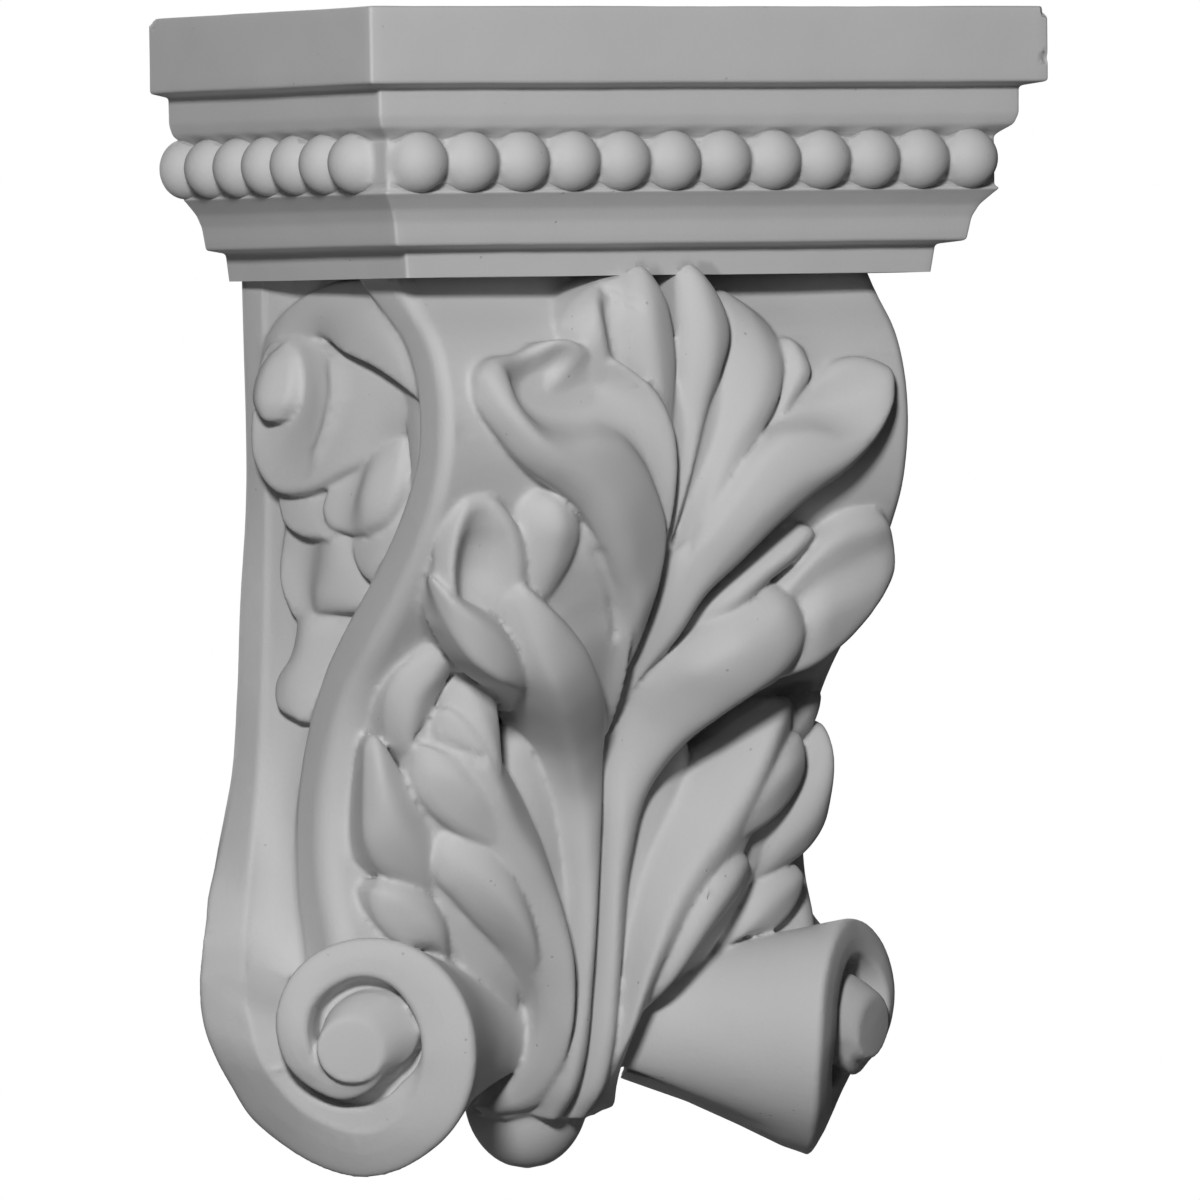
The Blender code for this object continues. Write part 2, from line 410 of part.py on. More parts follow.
            [(17, -114, 38), (23.3, -100, 53), (29, -91.5, 57), (35.5, -85, 57.5), (41.5, -78.5, 56.5),
             (43.8, -73.5, 56), (43.4, -70.5, 57)],
        ],
    ),
    "bed": dict(
        sides=BOTH, roll=2.0,
        rails=[
            [(16, -112, 38), (22, -97, 46), (28, -82, 50), (34, -66, 53), (40, -51, 55.5), (46, -39, 57.5),
             (50, -28, 58)],
            [(28, -110, 38), (37, -97, 44.5), (45.5, -83, 48.5), (51, -69, 52), (55, -57, 55),
             (58, -46, 57),
             (58.5, -36, 57.5), (57, -28, 57)],
        ],
    ),
    "ground_first_left": dict(
        sides=LEFT, roll=2.0,
        rails=[
            [(50, -44, 50), (55, -38, 55.5), (54.6, -33, 57.5), (52.3, -24.5, 61), (50.5, -16, 66.5),
             (52, -9.5, 69.5)],
            [(54, -44, 51), (59.5, -38.2, 57), (60.8, -32, 60.5), (60, -25.2, 63.5), (57, -19, 67),
             (54, -11.5, 70.5), (53.4, -8.3, 70)],
            [(57, -43.5, 49), (63.5, -36.5, 54), (66.2, -30, 56.5), (66.6, -24, 59), (65, -19, 61.5),
             (61, -14, 65), (55.5, -8.8, 69)],
        ],
    ),
    "ground_first_right": dict(
        sides=RIGHT, roll=2.0,
        rails=[
            [(50, -46, 49), (54, -36, 55), (58.5, -29.5, 57), (63, -26.5, 56.5)],
            [(52, -47, 50), (57, -38, 57), (62, -31, 58.5), (66, -27, 56.8)],
            [(55, -46, 49), (61.2, -40.7, 54), (65.5, -35.5, 55), (67.4, -29.5, 55.5), (67.3, -26.5, 56)],
        ],
    ),
    "ground_second": dict(
        sides=BOTH, roll=2.5,
        rails=[
            [(44, -80, 46), (48, -66, 52), (54, -54, 55), (60, -45, 55), (64, -38, 54), (66.5, -34.5, 53)],
            [(49, -79, 47), (56, -69, 54), (63.5, -60, 57.5), (67.5, -50, 58.5), (69, -41, 57),
             (69, -35.5, 54)],
            [(50, -77, 47), (58.5, -73.5, 49.5), (65.5, -69, 51), (69.5, -63, 52.5), (71, -54, 54),
             (71.2, -45, 55), (70.3, -38, 54)],
        ],
    ),
    "ground_third": dict(
        sides=BOTH, roll=2.0,
        rails=[
            [(40, -94, 43), (44, -84, 48), (50, -77, 50), (57, -73.5, 49.5), (63.5, -72.5, 48)],
            [(42, -95, 45), (48, -87, 51), (55, -81, 52), (61, -77, 51), (65, -74.5, 48.5)],
            [(42, -94, 44), (49, -91, 47), (57, -89.5, 47.5), (62.5, -84.9, 47.5), (65.8, -79, 47.5),
             (66.3, -75, 47.5)],
        ],
    ),
}
FOOT_SINK = 5.0
UNDERCUT = 0.12

# Carving in the sunk side panels: rails of (depth, height, rise over the floor) points
PANEL_LOBES = {
    "flap": dict(
        roll=1.2, crest=1.0,
        rails=[
            [(4, 60, 0), (12, 70, 1), (24, 78, 2), (46, 83, 4), (66, 80, 6), (80, 64, 7), (88, 48, 6)],
            [(12, 56, 0), (24, 66, 2), (35, 68.5, 4), (52, 64, 9), (66, 60, 10), (78, 54, 9.5),
             (88, 46, 7)],
        ],
    ),
    "side_ribbon": dict(
        roll=1.0, crest=0.5,
        rails=[
            [(66, 62, 3), (69, 53, 4), (71, 42, 4.5), (71, 33, 4), (69, 24, 3)],
            [(80, 62, 6), (84, 52, 7), (85, 42, 7), (83, 33, 6), (80, 24, 4)],
        ],
    ),
    "shell": dict(
        roll=2.5, crest=0.0,
        rails=[
            [(74, 56, 3), (66, 58, 3.5), (54, 62, 4), (40, 66, 4.5), (26, 69, 4), (14, 66, 4), (9, 57, 4)],
            [(73, 49, 5), (64, 48, 6), (52, 47.5, 8), (43, 48, 8.5), (35, 50, 6.5), (26, 51, 4),
             (17, 52, 3), (11, 53, 3.5)],
            [(72, 42, 2), (62, 38, 4), (49, 33, 8), (36, 28, 9.5), (24, 28, 9.5), (13, 37, 8),
             (8.8, 49, 5.5)],
        ],
    ),
    "shell_eye": dict(
        roll=1.5, crest=0.0,
        rails=[
            [(22, 67, 3.5), (17.5, 63.5, 5.5), (15.3, 57.5, 7.5), (15.6, 51.5, 8.5), (19, 47.2, 8.5)],
            [(23, 67.5, 4), (22.8, 62.5, 8.5), (22.5, 57, 11), (22.6, 51.5, 12), (22.8, 46.6, 10.5)],
            [(25, 67, 3.5), (29.2, 63, 6.5), (31.2, 57, 8.5), (30.4, 51.3, 9.5), (26.6, 47, 9)],
        ],
    ),
    "petal_upper": dict(
        roll=2.0, crest=0.0,
        rails=[
            [(45, 37, 4), (41, 30, 6), (39.5, 24, 7.5), (42, 19.5, 8), (50, 17, 7.5)],
            [(54, 39, 4), (52, 31, 5), (51, 25, 6.5), (51, 20, 7.5), (53, 17, 7.5)],
            [(62, 40, 5), (61, 33, 8), (59.5, 26, 9.5), (58, 20.5, 9), (55, 17, 7.5)],
            [(69, 42, 4), (70, 35, 5.5), (68.5, 27, 7), (64, 20.5, 7.5), (57, 17, 7)],
        ],
    ),
    "layer_left": dict(
        roll=1.5, crest=1.0,
        rails=[
            [(16, 32, 2), (18.5, 25, 4), (23, 20, 6), (31, 16.5, 7), (40, 15.5, 6)],
            [(40, 34, 2), (44, 28, 3), (46, 22, 5), (45, 18, 6), (42, 15.5, 6)],
        ],
    ),
    "petal_lower": dict(
        roll=1.5, crest=1.0,
        rails=[
            [(46, 22, 2), (47.5, 14, 5), (51, 9, 7), (55, 5.5, 7.5), (59, 3.5, 7)],
            [(76, 26, 2), (73, 17, 5), (69, 11, 7), (65, 6.5, 7.5), (61, 3.5, 7)],
        ],
    ),
    "husk_upper": dict(
        roll=2.0, crest=0.0,
        rails=[
            [(19, 24, 1), (16.8, 14, 2), (16.8, 7, 3), (20, 0, 4), (23, -5, 4)],
            [(31, 24, 2), (29, 14, 2), (28, 7, 2.5), (29, 1, 3.5), (31, -4, 4.5)],
            [(42, 22, 3), (40, 13, 6), (38, 6, 6.5), (36, 1, 6.5), (35, -3.5, 5.5)],
            [(53, 20, 1), (56, 9, 2.5), (55, 3, 4), (52, -1.5, 5), (46, -3.5, 5)],
        ],
    ),
    "husk_lower": dict(
        roll=2.0, crest=0.0,
        rails=[
            [(19, 2, 1), (22.5, -7, 2.5), (21, -14, 3), (17, -21, 4), (18, -28, 5), (25, -32, 5)],
            [(27, 2, 2), (28.5, -8, 5.5), (26.5, -15, 6), (23.5, -22, 6.5), (23.5, -28, 6), (26, -32, 5)],
            [(46, 0, 0.5), (43, -8, 1), (39, -16, 1), (36, -23, 1.5), (33.5, -29, 3), (28, -32, 4.5)],
        ],
    ),
}
PANEL_SINK = 3.5

# How finely the casting is made
VOXEL = 1.9
TRIANGLES = 6600
BEAD_SEGMENTS = 12
BEAD_RINGS = 7

# The block that cuts the back flat at the wall
CUTTER_REACH = 200.0
CUTTER_DEPTH = 40.0

# Primed casting
PRIMED = (0.62, 0.62, 0.62, 1.0)
PRIMED_ROUGHNESS = 0.7


def blend(pairs, at):
    """Values at `at` of a smooth curve through (position, value) pairs."""
    return values_at(pairs, at)[:, 0]


def values_at(table, at):
    """All the columns of a table but the first, read at positions in its first column."""
    rows = np.array(sorted(table), float)
    return curve_values(rows[:, 0], rows[:, 1:], np.atleast_1d(np.asarray(at, float)))


def curve_values(knots, values, at):
    """Hermite curve through values at knots, read at `at` and held beyond its ends."""
    at = np.clip(at, knots[0], knots[-1])
    slopes = np.gradient(values, knots, axis=0)
    i = np.clip(np.searchsorted(knots, at, side="right") - 1, 0, len(knots) - 2)
    step = (knots[i + 1] - knots[i])[:, None]
    f = (at - knots[i])[:, None] / step
    start = (2 * f**3 - 3 * f**2 + 1) * values[i] + (f**3 - 2 * f**2 + f) * step * slopes[i]
    return start + (3 * f**2 - 2 * f**3) * values[i + 1] + (f**3 - f**2) * step * slopes[i + 1]


def curve_through(points, at):
    """Points at shares `at` of the length of a smooth curve through the given points."""
    points = np.array(points, float)
    lengths = np.linalg.norm(np.diff(points, axis=0), axis=1)
    knots = np.concatenate([[0.0], np.cumsum(lengths)])
    return curve_values(knots, points, np.asarray(at) * knots[-1])


def new_object(name, mesh_builder, collection):
    """A mesh object in metres from bmesh work done in millimetres."""
    bm = bmesh.new()
    mesh_builder(bm)
    bmesh.ops.remove_doubles(bm, verts=bm.verts, dist=0.01)
    bmesh.ops.scale(bm, verts=bm.verts, vec=(MM, MM, MM))
    bmesh.ops.recalc_face_normals(bm, faces=bm.faces)
    mesh = bpy.data.meshes.new(name)
    bm.to_mesh(mesh)
    bm.free()
    obj = bpy.data.objects.new(name, mesh)
    collection.objects.link(obj)
    return obj


def skin(bm, rings):
    """Quads between rings of (x, depth, height) points, with flat ends."""
    rows = [[bm.verts.new((x, -depth, height)) for x, depth, height in ring] for ring in rings]
    for low, high in zip(rows, rows[1:]):
        for k in range(len(low)):
            after = (k + 1) % len(low)
            bm.faces.new((low[k], low[after], high[after], high[k]))
    bm.faces.new(rows[0][::-1])
    bm.faces.new(rows[-1])


def cap_ring(height, inset):
    """The cap's plan at one height."""
    half = CAP_WIDTH / 2 - inset
    depth = CAP_DEPTH - inset
    return [(-half, 0.0, height), (-half, depth, height), (half, depth, height), (half, 0.0, height)]


def build_cap(bm):
    skin(bm, [cap_ring(height, inset) for height, inset in CAP_PROFILE])


def bead_places():
    """Centres of the beads along the front and both sides."""
    half = CAP_WIDTH / 2 - BEAD_INSET
    depth = CAP_DEPTH - BEAD_INSET
    for k in range(FRONT_BEADS):
        yield ((k - (FRONT_BEADS - 1) / 2) * BEAD_PITCH, depth)
    for k in range(SIDE_BEADS):
        for side in BOTH:
            yield (side * half, max(FIRST_SIDE_BEAD - k * BEAD_PITCH, 0.4))


def half_plan(height):
    """Half outline of the bracket at one height, from the wall round to the middle of the front."""
    lip, lip_depth, strip, strip_depth = values_at(STRIP, height)[0]
    front = blend(FRONT_DEPTH, height)[0]
    inner = blend(BAND_DEPTH, height)[0]
    points = [(lip - lip_depth, -BEHIND_WALL), (lip - lip_depth, 0.0)]
    for share in (0.0, 0.1, 0.5, 0.9, 1.0):
        round_in = 0.6 * max(abs(share - 0.5) - 0.4, 0.0) / 0.1
        x = lip + (strip - lip) * share - round_in
        points.append((x, lip_depth + (strip_depth - lip_depth) * share))
    edge = WALL_HALF_WIDTH - DRAFT * inner
    shares = np.array([0.03, 0.1, 0.25, 0.4, 0.55, 0.7, 0.85, 0.97])
    points += recess_line(height, (strip, strip_depth), (edge, inner), shares)
    points.append((edge - 0.5, inner + 0.6))
    points.append((edge, inner + 2.0))
    turn_in = FRONT_HALF_WIDTH - CORNER_IN
    reach = CORNER_REACH + 0.7 * max(edge - FRONT_HALF_WIDTH, 0.0)
    for share in (0.5, 0.9):
        points.append((edge, inner + 2.0 + (front - reach - inner - 2.0) * share))
    for turn in (0.0, 0.3, 0.6, 0.9, 1.2, 1.45):
        points.append((turn_in + (edge - turn_in) * math.cos(turn), front - reach + reach * math.sin(turn)))
    for share in (0.9, 0.66, 0.33, 0.0):
        points.append((FRONT_HALF_WIDTH * share, front - 1.5 * (1.0 - share**2)))
    return points


def recess_line(height, strip, band, shares):
    """The recess's floor at one height, sunk square to the line from the back strip to the side band."""
    across = np.array(band) - np.array(strip)
    inward = np.array([-across[1], across[0]]) / np.linalg.norm(across)
    sunk = 0.8 + blend(RECESS, height)[0] * shares**1.5 + HOLLOW * np.sin(math.pi * shares)
    line = np.array(strip) + across * shares[:, None] + inward * sunk[:, None]
    return [tuple(point) for point in line]


def panel_half_width(height, depth):
    """Half-width of the sunk side panel's floor."""
    _, _, strip, strip_depth = values_at(STRIP, height)[0]
    inner = blend(BAND_DEPTH, height)[0]
    share = np.clip((depth - strip_depth) / max(inner - strip_depth, 1.0), 0.0, 1.0)
    edge = WALL_HALF_WIDTH - DRAFT * inner
    sunk = 0.8 + blend(RECESS, height)[0] * share**1.5 + HOLLOW * math.sin(math.pi * share)
    return strip + (edge - strip) * share - sunk


def bracket_ring(height):
    half = half_plan(height)
    left = [(-x, depth, height) for x, depth in half]
    right = [(x, depth, height) for x, depth in reversed(half)]
    return left + right


def build_bracket(bm):
    """Bracket behind the leaf, from under the cap's fascia down into the volutes."""
    skin(bm, [bracket_ring(height) for height in np.linspace(BRACKET_TOP, BRACKET_FOOT, 70)])


def build_foot(bm):
    """The rounded drop under the bracket, against the wall."""
    _, depth, height = FOOT
    rings = []
    for share in np.linspace(-1.0, 1.0, 15):
        swell = FOOT_RADIUS * math.sqrt(max(1.0 - share**2, 0.0004))
        level = height + FOOT_HALF_HEIGHT * share
        rings.append([(swell * math.cos(turn), depth + swell * math.sin(turn), level)
                      for turn in np.linspace(0.0, 2 * math.pi, 24, endpoint=False)])
    skin(bm, rings)


def build_root(bm, side):
    """The block between a horn and the wall, whose underside follows the horn."""
    rings = []
    for x, depth, low, wall in ROOT:
        rings.append([(side * x, -BEHIND_WALL, wall), (side * x, depth / 2, (wall + low) / 2),
                      (side * x, depth, low), (side * x, depth, ROOT_TOP),
                      (side * x, -BEHIND_WALL, ROOT_TOP)])
    skin(bm, rings)


def face_point(side, across, height, rise):
    """A point over the volute's face: across towards the front, and rise out of the face."""
    half_root = math.sqrt(0.5)
    x = EYE[0] - across * half_root + rise * half_root
    depth = EYE[1] + across * half_root + rise * half_root
    return (side * x, depth, height)


def turned_point(side, turn, radius, rise):
    """A point over the volute's face at a turn in degrees and a radius from the eye."""
    angle = math.radians(turn)
    return face_point(side, radius * math.cos(angle), EYE[2] + radius * math.sin(angle), rise)


def horn_ring(side, station, lean, turns):
    """One ring of the horn, leaning towards its volute's face."""
    x, depth, height, radius = station
    along = (-math.cos(math.radians(lean)), math.sin(math.radians(lean)))
    ring = []
    for turn in np.radians(turns):
        across = radius * math.cos(turn)
        ring.append((side * (x + along[0] * across), depth + along[1] * across,
                     height + radius * math.sin(turn)))
    return ring


def horn_end(side, turns, inset, sink):
    """The horn's widest ring, which follows the scroll's outer edge."""
    edge = values_at(RIBBON, np.where(turns < 195.0, turns + 360.0, turns))
    return [turned_point(side, turn, min(row[0], HORN_WIDEST) - inset, row[1] - sink)
            for turn, row in zip(turns, edge)]


def build_horn(bm, side):
    """One flared horn from the middle of the foot to its volute's rim, hollowed behind the groove."""
    turns = np.linspace(0.0, 360.0, 48, endpoint=False)
    rings = [horn_ring(side, station, lean, turns) for station, lean in zip(HORN, HORN_LEAN)]
    rings.append(horn_end(side, turns, 0.0, 1.5))
    stack = np.array(rings).reshape(len(rings), -1)
    lofted = curve_through(stack, np.linspace(0.0, 1.0, 14)).reshape(-1, len(turns), 3)
    rings = [[tuple(point) for point in ring] for ring in lofted]
    rings.append(horn_end(side, turns, 4.0, 1.5))
    rings.append(horn_end(side, turns, 5.0, 9.0))
    skin(bm, rings)


def ribbon_section(row):
    """The scroll's rounded section at one turn: outer edge, band, inner line, groove edge and wall."""
    outer, outer_rise, inner, inner_rise, edge, edge_rise = row
    inner = min(inner, outer - 1.0)
    edge = max(min(edge, inner - 0.3), 0.4)
    slope = (inner_rise - outer_rise) / (outer - inner)
    back = min(outer_rise, edge_rise) - RIBBON_BACK
    taper = min(RIBBON_TAPER, 0.7 * (outer - edge))
    return [
        (outer - taper, back), (outer - 0.7, outer_rise - 2.6), (outer - 0.1, outer_rise - 1.4),
        (outer - 0.7, outer_rise - 0.4 + 0.7 * slope), (outer - 2.4, outer_rise + 2.4 * slope),
        ((outer + inner) / 2, (outer_rise + inner_rise) / 2 + 0.3),
        (inner + 0.8, inner_rise - 0.1 - 0.8 * slope), (inner - 0.1, inner_rise - 0.9),
        ((inner + edge) / 2, (inner_rise + edge_rise) / 2 - 0.4), (edge, edge_rise),
        (edge - 0.3, edge_rise - 0.8), (edge - 0.5, min(GROOVE_FLOOR, back + 2.0)), (edge - 0.5, back),
    ]


def build_scroll(bm, side):
    """The ribbon that winds from the back strip round to the knob."""
    turns = np.arange(RIBBON_START, 680.0, 6.0)
    rings = []
    for turn, row in zip(turns, values_at(RIBBON, turns)):
        sink = RIBBON_SINK * max(1.0 - (turn - RIBBON_START) / RIBBON_MERGE, 0.0)
        rings.append([turned_point(side, turn, radius - 0.5 * sink, rise - sink)
                      for radius, rise in ribbon_section(row)])
    skin(bm, rings)


def build_knob(bm, side):
    rings = []
    turns = np.arange(-30.0, 330.0, 15.0)
    foot = blend(KNOB_FOOT, turns)
    for rise, share in KNOB:
        radius = foot + (KNOB_DISC - foot) * share
        ring = []
        for turn, r in zip(turns, radius):
            angle = math.radians(turn)
            lean = (KNOB_LEAN * math.sin(angle) + KNOB_TURN * math.cos(angle)) * min(r, KNOB_DISC + 3.0)
            ring.append(turned_point(side, turn, r, rise + (lean if rise > -8.0 else 0.0)))
        rings.append(ring)
    skin(bm, rings)


def build_back_fill(bm, side):
    """The side of the volute towards the wall, carried straight back from the scroll's edge."""
    turns = np.linspace(RIBBON_START, 300.0, 31)
    edge = values_at(RIBBON, turns)[:, :2]
    rings = []
    for back, width, height in BACK_FILL:
        ring = []
        for turn, (radius, rise) in zip(np.radians(turns), edge):
            ring.append(face_point(side, radius * math.cos(turn) * width,
                                   EYE[2] + radius * math.sin(turn) * height, rise - back))
        rings.append(ring)
    skin(bm, rings)


def along_value(value, at):
    """A number held all along a lobe, or a curve of (position, value) pairs."""
    return blend(value, at) if isinstance(value, list) else np.full(len(at), float(value))


def on_front(side, points, under, thick):
    """Leaf points on the bracket's front, and their underside."""
    ground = blend(FRONT_DEPTH, under[..., 1].ravel()).reshape(under.shape[:-1]) - FOOT_SINK
    low = np.maximum(ground, under[..., 2] - thick[:, None])
    low = np.minimum(low, points[..., 2] - 2.0)
    top = np.stack([side * points[..., 0], points[..., 2], points[..., 1]], axis=-1)
    foot = np.stack([side * np.clip(under[..., 0], -66.0, 66.0), low, under[..., 1]], axis=-1)
    return top, foot


def on_panel(side, points, under, thick):
    """Points of carving in the side panel, and their feet sunk into its floor."""
    flat = points.reshape(-1, 3)
    floor = np.array([panel_half_width(height, depth) for depth, height, _ in flat])
    floor = floor.reshape(points.shape[:-1])
    top = np.stack([side * (floor + points[..., 2]), points[..., 0], points[..., 1]], axis=-1)
    foot = np.stack([side * (floor - PANEL_SINK), points[..., 0], points[..., 1]], axis=-1)
    return top, foot


def rim_distance(points, rim):
    """How far each point of a grid is from its rim, measured over the surface's plan."""
    flat = points[..., :2].reshape(-1, 1, 2)
    return np.sqrt(((flat - rim[None, :, :2])**2).sum(axis=2)).min(axis=1).reshape(points.shape[:-1])


def build_lobe(bm, side, lobe, place, stations=30, across=16):
    """One closed lobe: a top skinned over its rails, a rounded rim and walls down to its underside."""
    at = np.sin(np.linspace(0.0, math.pi / 2, stations))
    rails = [curve_through(rail, at) for rail in lobe["rails"]]
    if len(rails) == 2:
        rails.insert(1, (rails[0] + rails[1]) / 2 + np.array([0.0, 0.0, lobe.get("crest", 1.0)]))
    rails = np.array(rails)
    gaps = np.linalg.norm(np.diff(rails, axis=0), axis=2).mean(axis=1)
    knots = np.concatenate([[0.0], np.cumsum(gaps)])
    spread = (0.5 - 0.5 * np.cos(np.linspace(0.0, math.pi, across))) * knots[-1]
    grid = curve_values(knots, rails.reshape(len(rails), -1), spread).reshape(across, stations, 3)
    grid = grid.transpose(1, 0, 2)
    rim = np.concatenate([grid[:, 0], grid[-1], grid[:, -1]])
    near = np.clip(rim_distance(grid, rim) / lobe["roll"], 0.0, 1.0)
    rolled = grid.copy()
    rolled[..., 2] -= lobe["roll"] * (1.0 - np.sqrt(1.0 - (1.0 - near)**2))
    middle = rolled.mean(axis=1, keepdims=True)
    under = rolled + (middle - rolled) * UNDERCUT
    thick = along_value(lobe.get("thick", 60.0), at)
    top, foot = place(side, rolled, under, thick)
    add_shell(bm, top, foot)


def add_shell(bm, top, foot):
    """A closed body from two grids of the same size, joined along their rims."""
    stations, across = top.shape[:2]
    grids = [[[bm.verts.new((x, -d, z)) for x, d, z in row] for row in grid] for grid in (top, foot)]
    for grid in grids:
        for i in range(stations - 1):
            for j in range(across - 1):
                bm.faces.new((grid[i][j], grid[i][j + 1], grid[i + 1][j + 1], grid[i + 1][j]))
    rim = [(i, 0) for i in range(stations)]
    rim += [(stations - 1, j) for j in range(1, across)]
    rim += [(i, across - 1) for i in range(stations - 2, -1, -1)]
    rim += [(0, j) for j in range(across - 2, 0, -1)]
    for (i, j), (k, m) in zip(rim, rim[1:] + rim[:1]):
        bm.faces.new((grids[0][i][j], grids[0][k][m], grids[1][k][m], grids[1][i][j]))


def apply_modifiers(obj):
    """Replaces an object's mesh with the one its modifiers make."""
    mesh = bpy.data.meshes.new_from_object(obj.evaluated_get(bpy.context.evaluated_depsgraph_get()))
    obj.modifiers.clear()
    obj.data = mesh


def boolean(obj, other, operation):
    """Joins another object to this one or cuts it away, and hides the other."""
    cut = obj.modifiers.new(operation.title(), "BOOLEAN")
    cut.operation = operation
    cut.object = other
    cut.solver = "EXACT"
    cut.use_self = operation == "UNION"
    other.hide_render = True
    other.display_type = "WIRE"


def plaster():
    """The plain grey of a primed casting."""
    material = bpy.data.materials.new("primed_casting")
    material.use_nodes = True
    surface = material.node_tree.nodes["Principled BSDF"]
    surface.inputs["Base Color"].default_value = PRIMED
    surface.inputs["Roughness"].default_value = PRIMED_ROUGHNESS
    surface.inputs["Metallic"].default_value = 0.0
    return material


def build_bracket_parts(bm):
    """Everything under the cap, as closed shapes that overlap."""
    build_bracket(bm)
    build_foot(bm)
    for side in BOTH:
        build_root(bm, side)
        build_horn(bm, side)
        build_back_fill(bm, side)
        build_scroll(bm, side)
        build_knob(bm, side)
        for lobe in PANEL_LOBES.values():
            build_lobe(bm, side, lobe, on_panel)
    for lobe in LOBES.values():
        for side in lobe["sides"]:
            build_lobe(bm, side, lobe, on_front)


def box(name, low, high, collection):
    """A block between two corners."""
    def build(bm):
        bmesh.ops.create_cube(bm, size=1.0)
        for vert in bm.verts:
            vert.co = [low[k] if vert.co[k] < 0 else high[k] for k in range(3)]
    return new_object(name, build, collection)


def build_beads(bm):
    for x, depth in bead_places():
        made = bmesh.ops.create_uvsphere(
            bm, u_segments=BEAD_SEGMENTS, v_segments=BEAD_RINGS, radius=BEAD_RADIUS)
        bmesh.ops.translate(bm, verts=made["verts"], vec=(x, -depth, BEAD_HEIGHT))


def main():
    for obj in list(bpy.data.objects):
        bpy.data.objects.remove(obj)
    work = bpy.context.scene.collection
    parts = bpy.data.collections.new("corbel")
    cutters = bpy.data.collections.new("cutters")
    work.children.link(parts)
    work.children.link(cutters)

    bracket = new_object("bracket", build_bracket_parts, cutters)
    fuse = bracket.modifiers.new("Fuse", "REMESH")
    fuse.mode = "VOXEL"
    fuse.voxel_size = VOXEL * MM
    apply_modifiers(bracket)
    thin = bracket.modifiers.new("Thin", "DECIMATE")
    bracket.data.calc_loop_triangles()
    thin.ratio = TRIANGLES / len(bracket.data.loop_triangles)
    apply_modifiers(bracket)

    corbel = new_object("corbel", build_cap, parts)
    beads = new_object("beads", build_beads, cutters)
    low = (-CUTTER_REACH, 0.0, -CUTTER_REACH)
    high = (CUTTER_REACH, CUTTER_DEPTH, CUTTER_REACH)
    wall = box("wall", low, high, cutters)
    for other, operation in ((beads, "UNION"), (bracket, "UNION"), (wall, "DIFFERENCE")):
        boolean(corbel, other, operation)
    apply_modifiers(corbel)
    corbel.data.materials.clear()
    corbel.data.materials.append(plaster())


main()
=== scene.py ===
"""Looks of a cast acanthus corbel: its carved surface, its primer finish and the stage it is seen on.

Lengths are in millimetres and become metres when a mesh is made. A depth is the distance out from the
wall, which is the plane Y = 0, and a height is measured from the middle of the back. Lines of carving
are lists of (half-width, height, depth) points, drawn on the right and mirrored to the left.
"""

import math

import bmesh
import bpy
import numpy as np
from bpy.props import FloatProperty, FloatVectorProperty, IntProperty, PointerProperty
from mathutils import Matrix, Vector


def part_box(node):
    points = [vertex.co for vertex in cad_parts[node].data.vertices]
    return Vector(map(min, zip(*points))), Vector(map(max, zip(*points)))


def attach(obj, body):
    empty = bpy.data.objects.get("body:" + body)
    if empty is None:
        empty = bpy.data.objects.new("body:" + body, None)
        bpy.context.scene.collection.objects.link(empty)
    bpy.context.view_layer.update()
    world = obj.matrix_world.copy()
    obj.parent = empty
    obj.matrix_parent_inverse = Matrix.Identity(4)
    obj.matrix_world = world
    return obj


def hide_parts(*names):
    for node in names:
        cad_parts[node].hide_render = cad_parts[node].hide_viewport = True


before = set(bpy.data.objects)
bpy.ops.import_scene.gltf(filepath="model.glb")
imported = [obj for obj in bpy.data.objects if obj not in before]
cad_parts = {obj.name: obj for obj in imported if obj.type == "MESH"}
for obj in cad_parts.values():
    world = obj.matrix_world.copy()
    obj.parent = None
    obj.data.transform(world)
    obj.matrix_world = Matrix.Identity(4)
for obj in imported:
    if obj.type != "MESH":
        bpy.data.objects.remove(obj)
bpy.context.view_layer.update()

bl_info = {
    "name": "Acanthus corbel",
    "version": (1, 0, 0),
    "blender": (4, 5, 0),
    "location": "View3D > Sidebar > Corbel",
    "description": "Builds the carved surface, primer finish and stage of a cast corbel",
    "category": "Object",
}

MM = 0.001
LOW, HIGH = (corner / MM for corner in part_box("corbel"))
TOP = HIGH.z
CAP_DEPTH = -LOW.y
CAP_HALF = max(abs(v.co.x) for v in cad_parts["corbel"].data.vertices if v.co.z > (TOP - 1) * MM) / MM

BOTH = (-1, 1)
LEFT = (-1,)
RIGHT = (1,)

# Cap: height below the top, inset from the top fascia
CAP_PROFILE = [
    (0.0, 0.0), (19.6, 0.0), (20.7, 5.5), (27.8, 5.6), (30.6, 6.6), (32.6, 9.4), (33.6, 10.4),
    (46.4, 10.4), (47.2, 9.4), (48.4, 10.6), (51.4, 13.3), (54.6, 14.8), (60.7, 15.9), (61.6, 21.8),
    (68.8, 22.8),
]
ARRIS = 0.9
ARRIS_STEPS = 3
MITRE_STEPS = 4
ROUND_SHARE = 0.45
CAP_STEP = 3.0
LID_BAND = 2.0

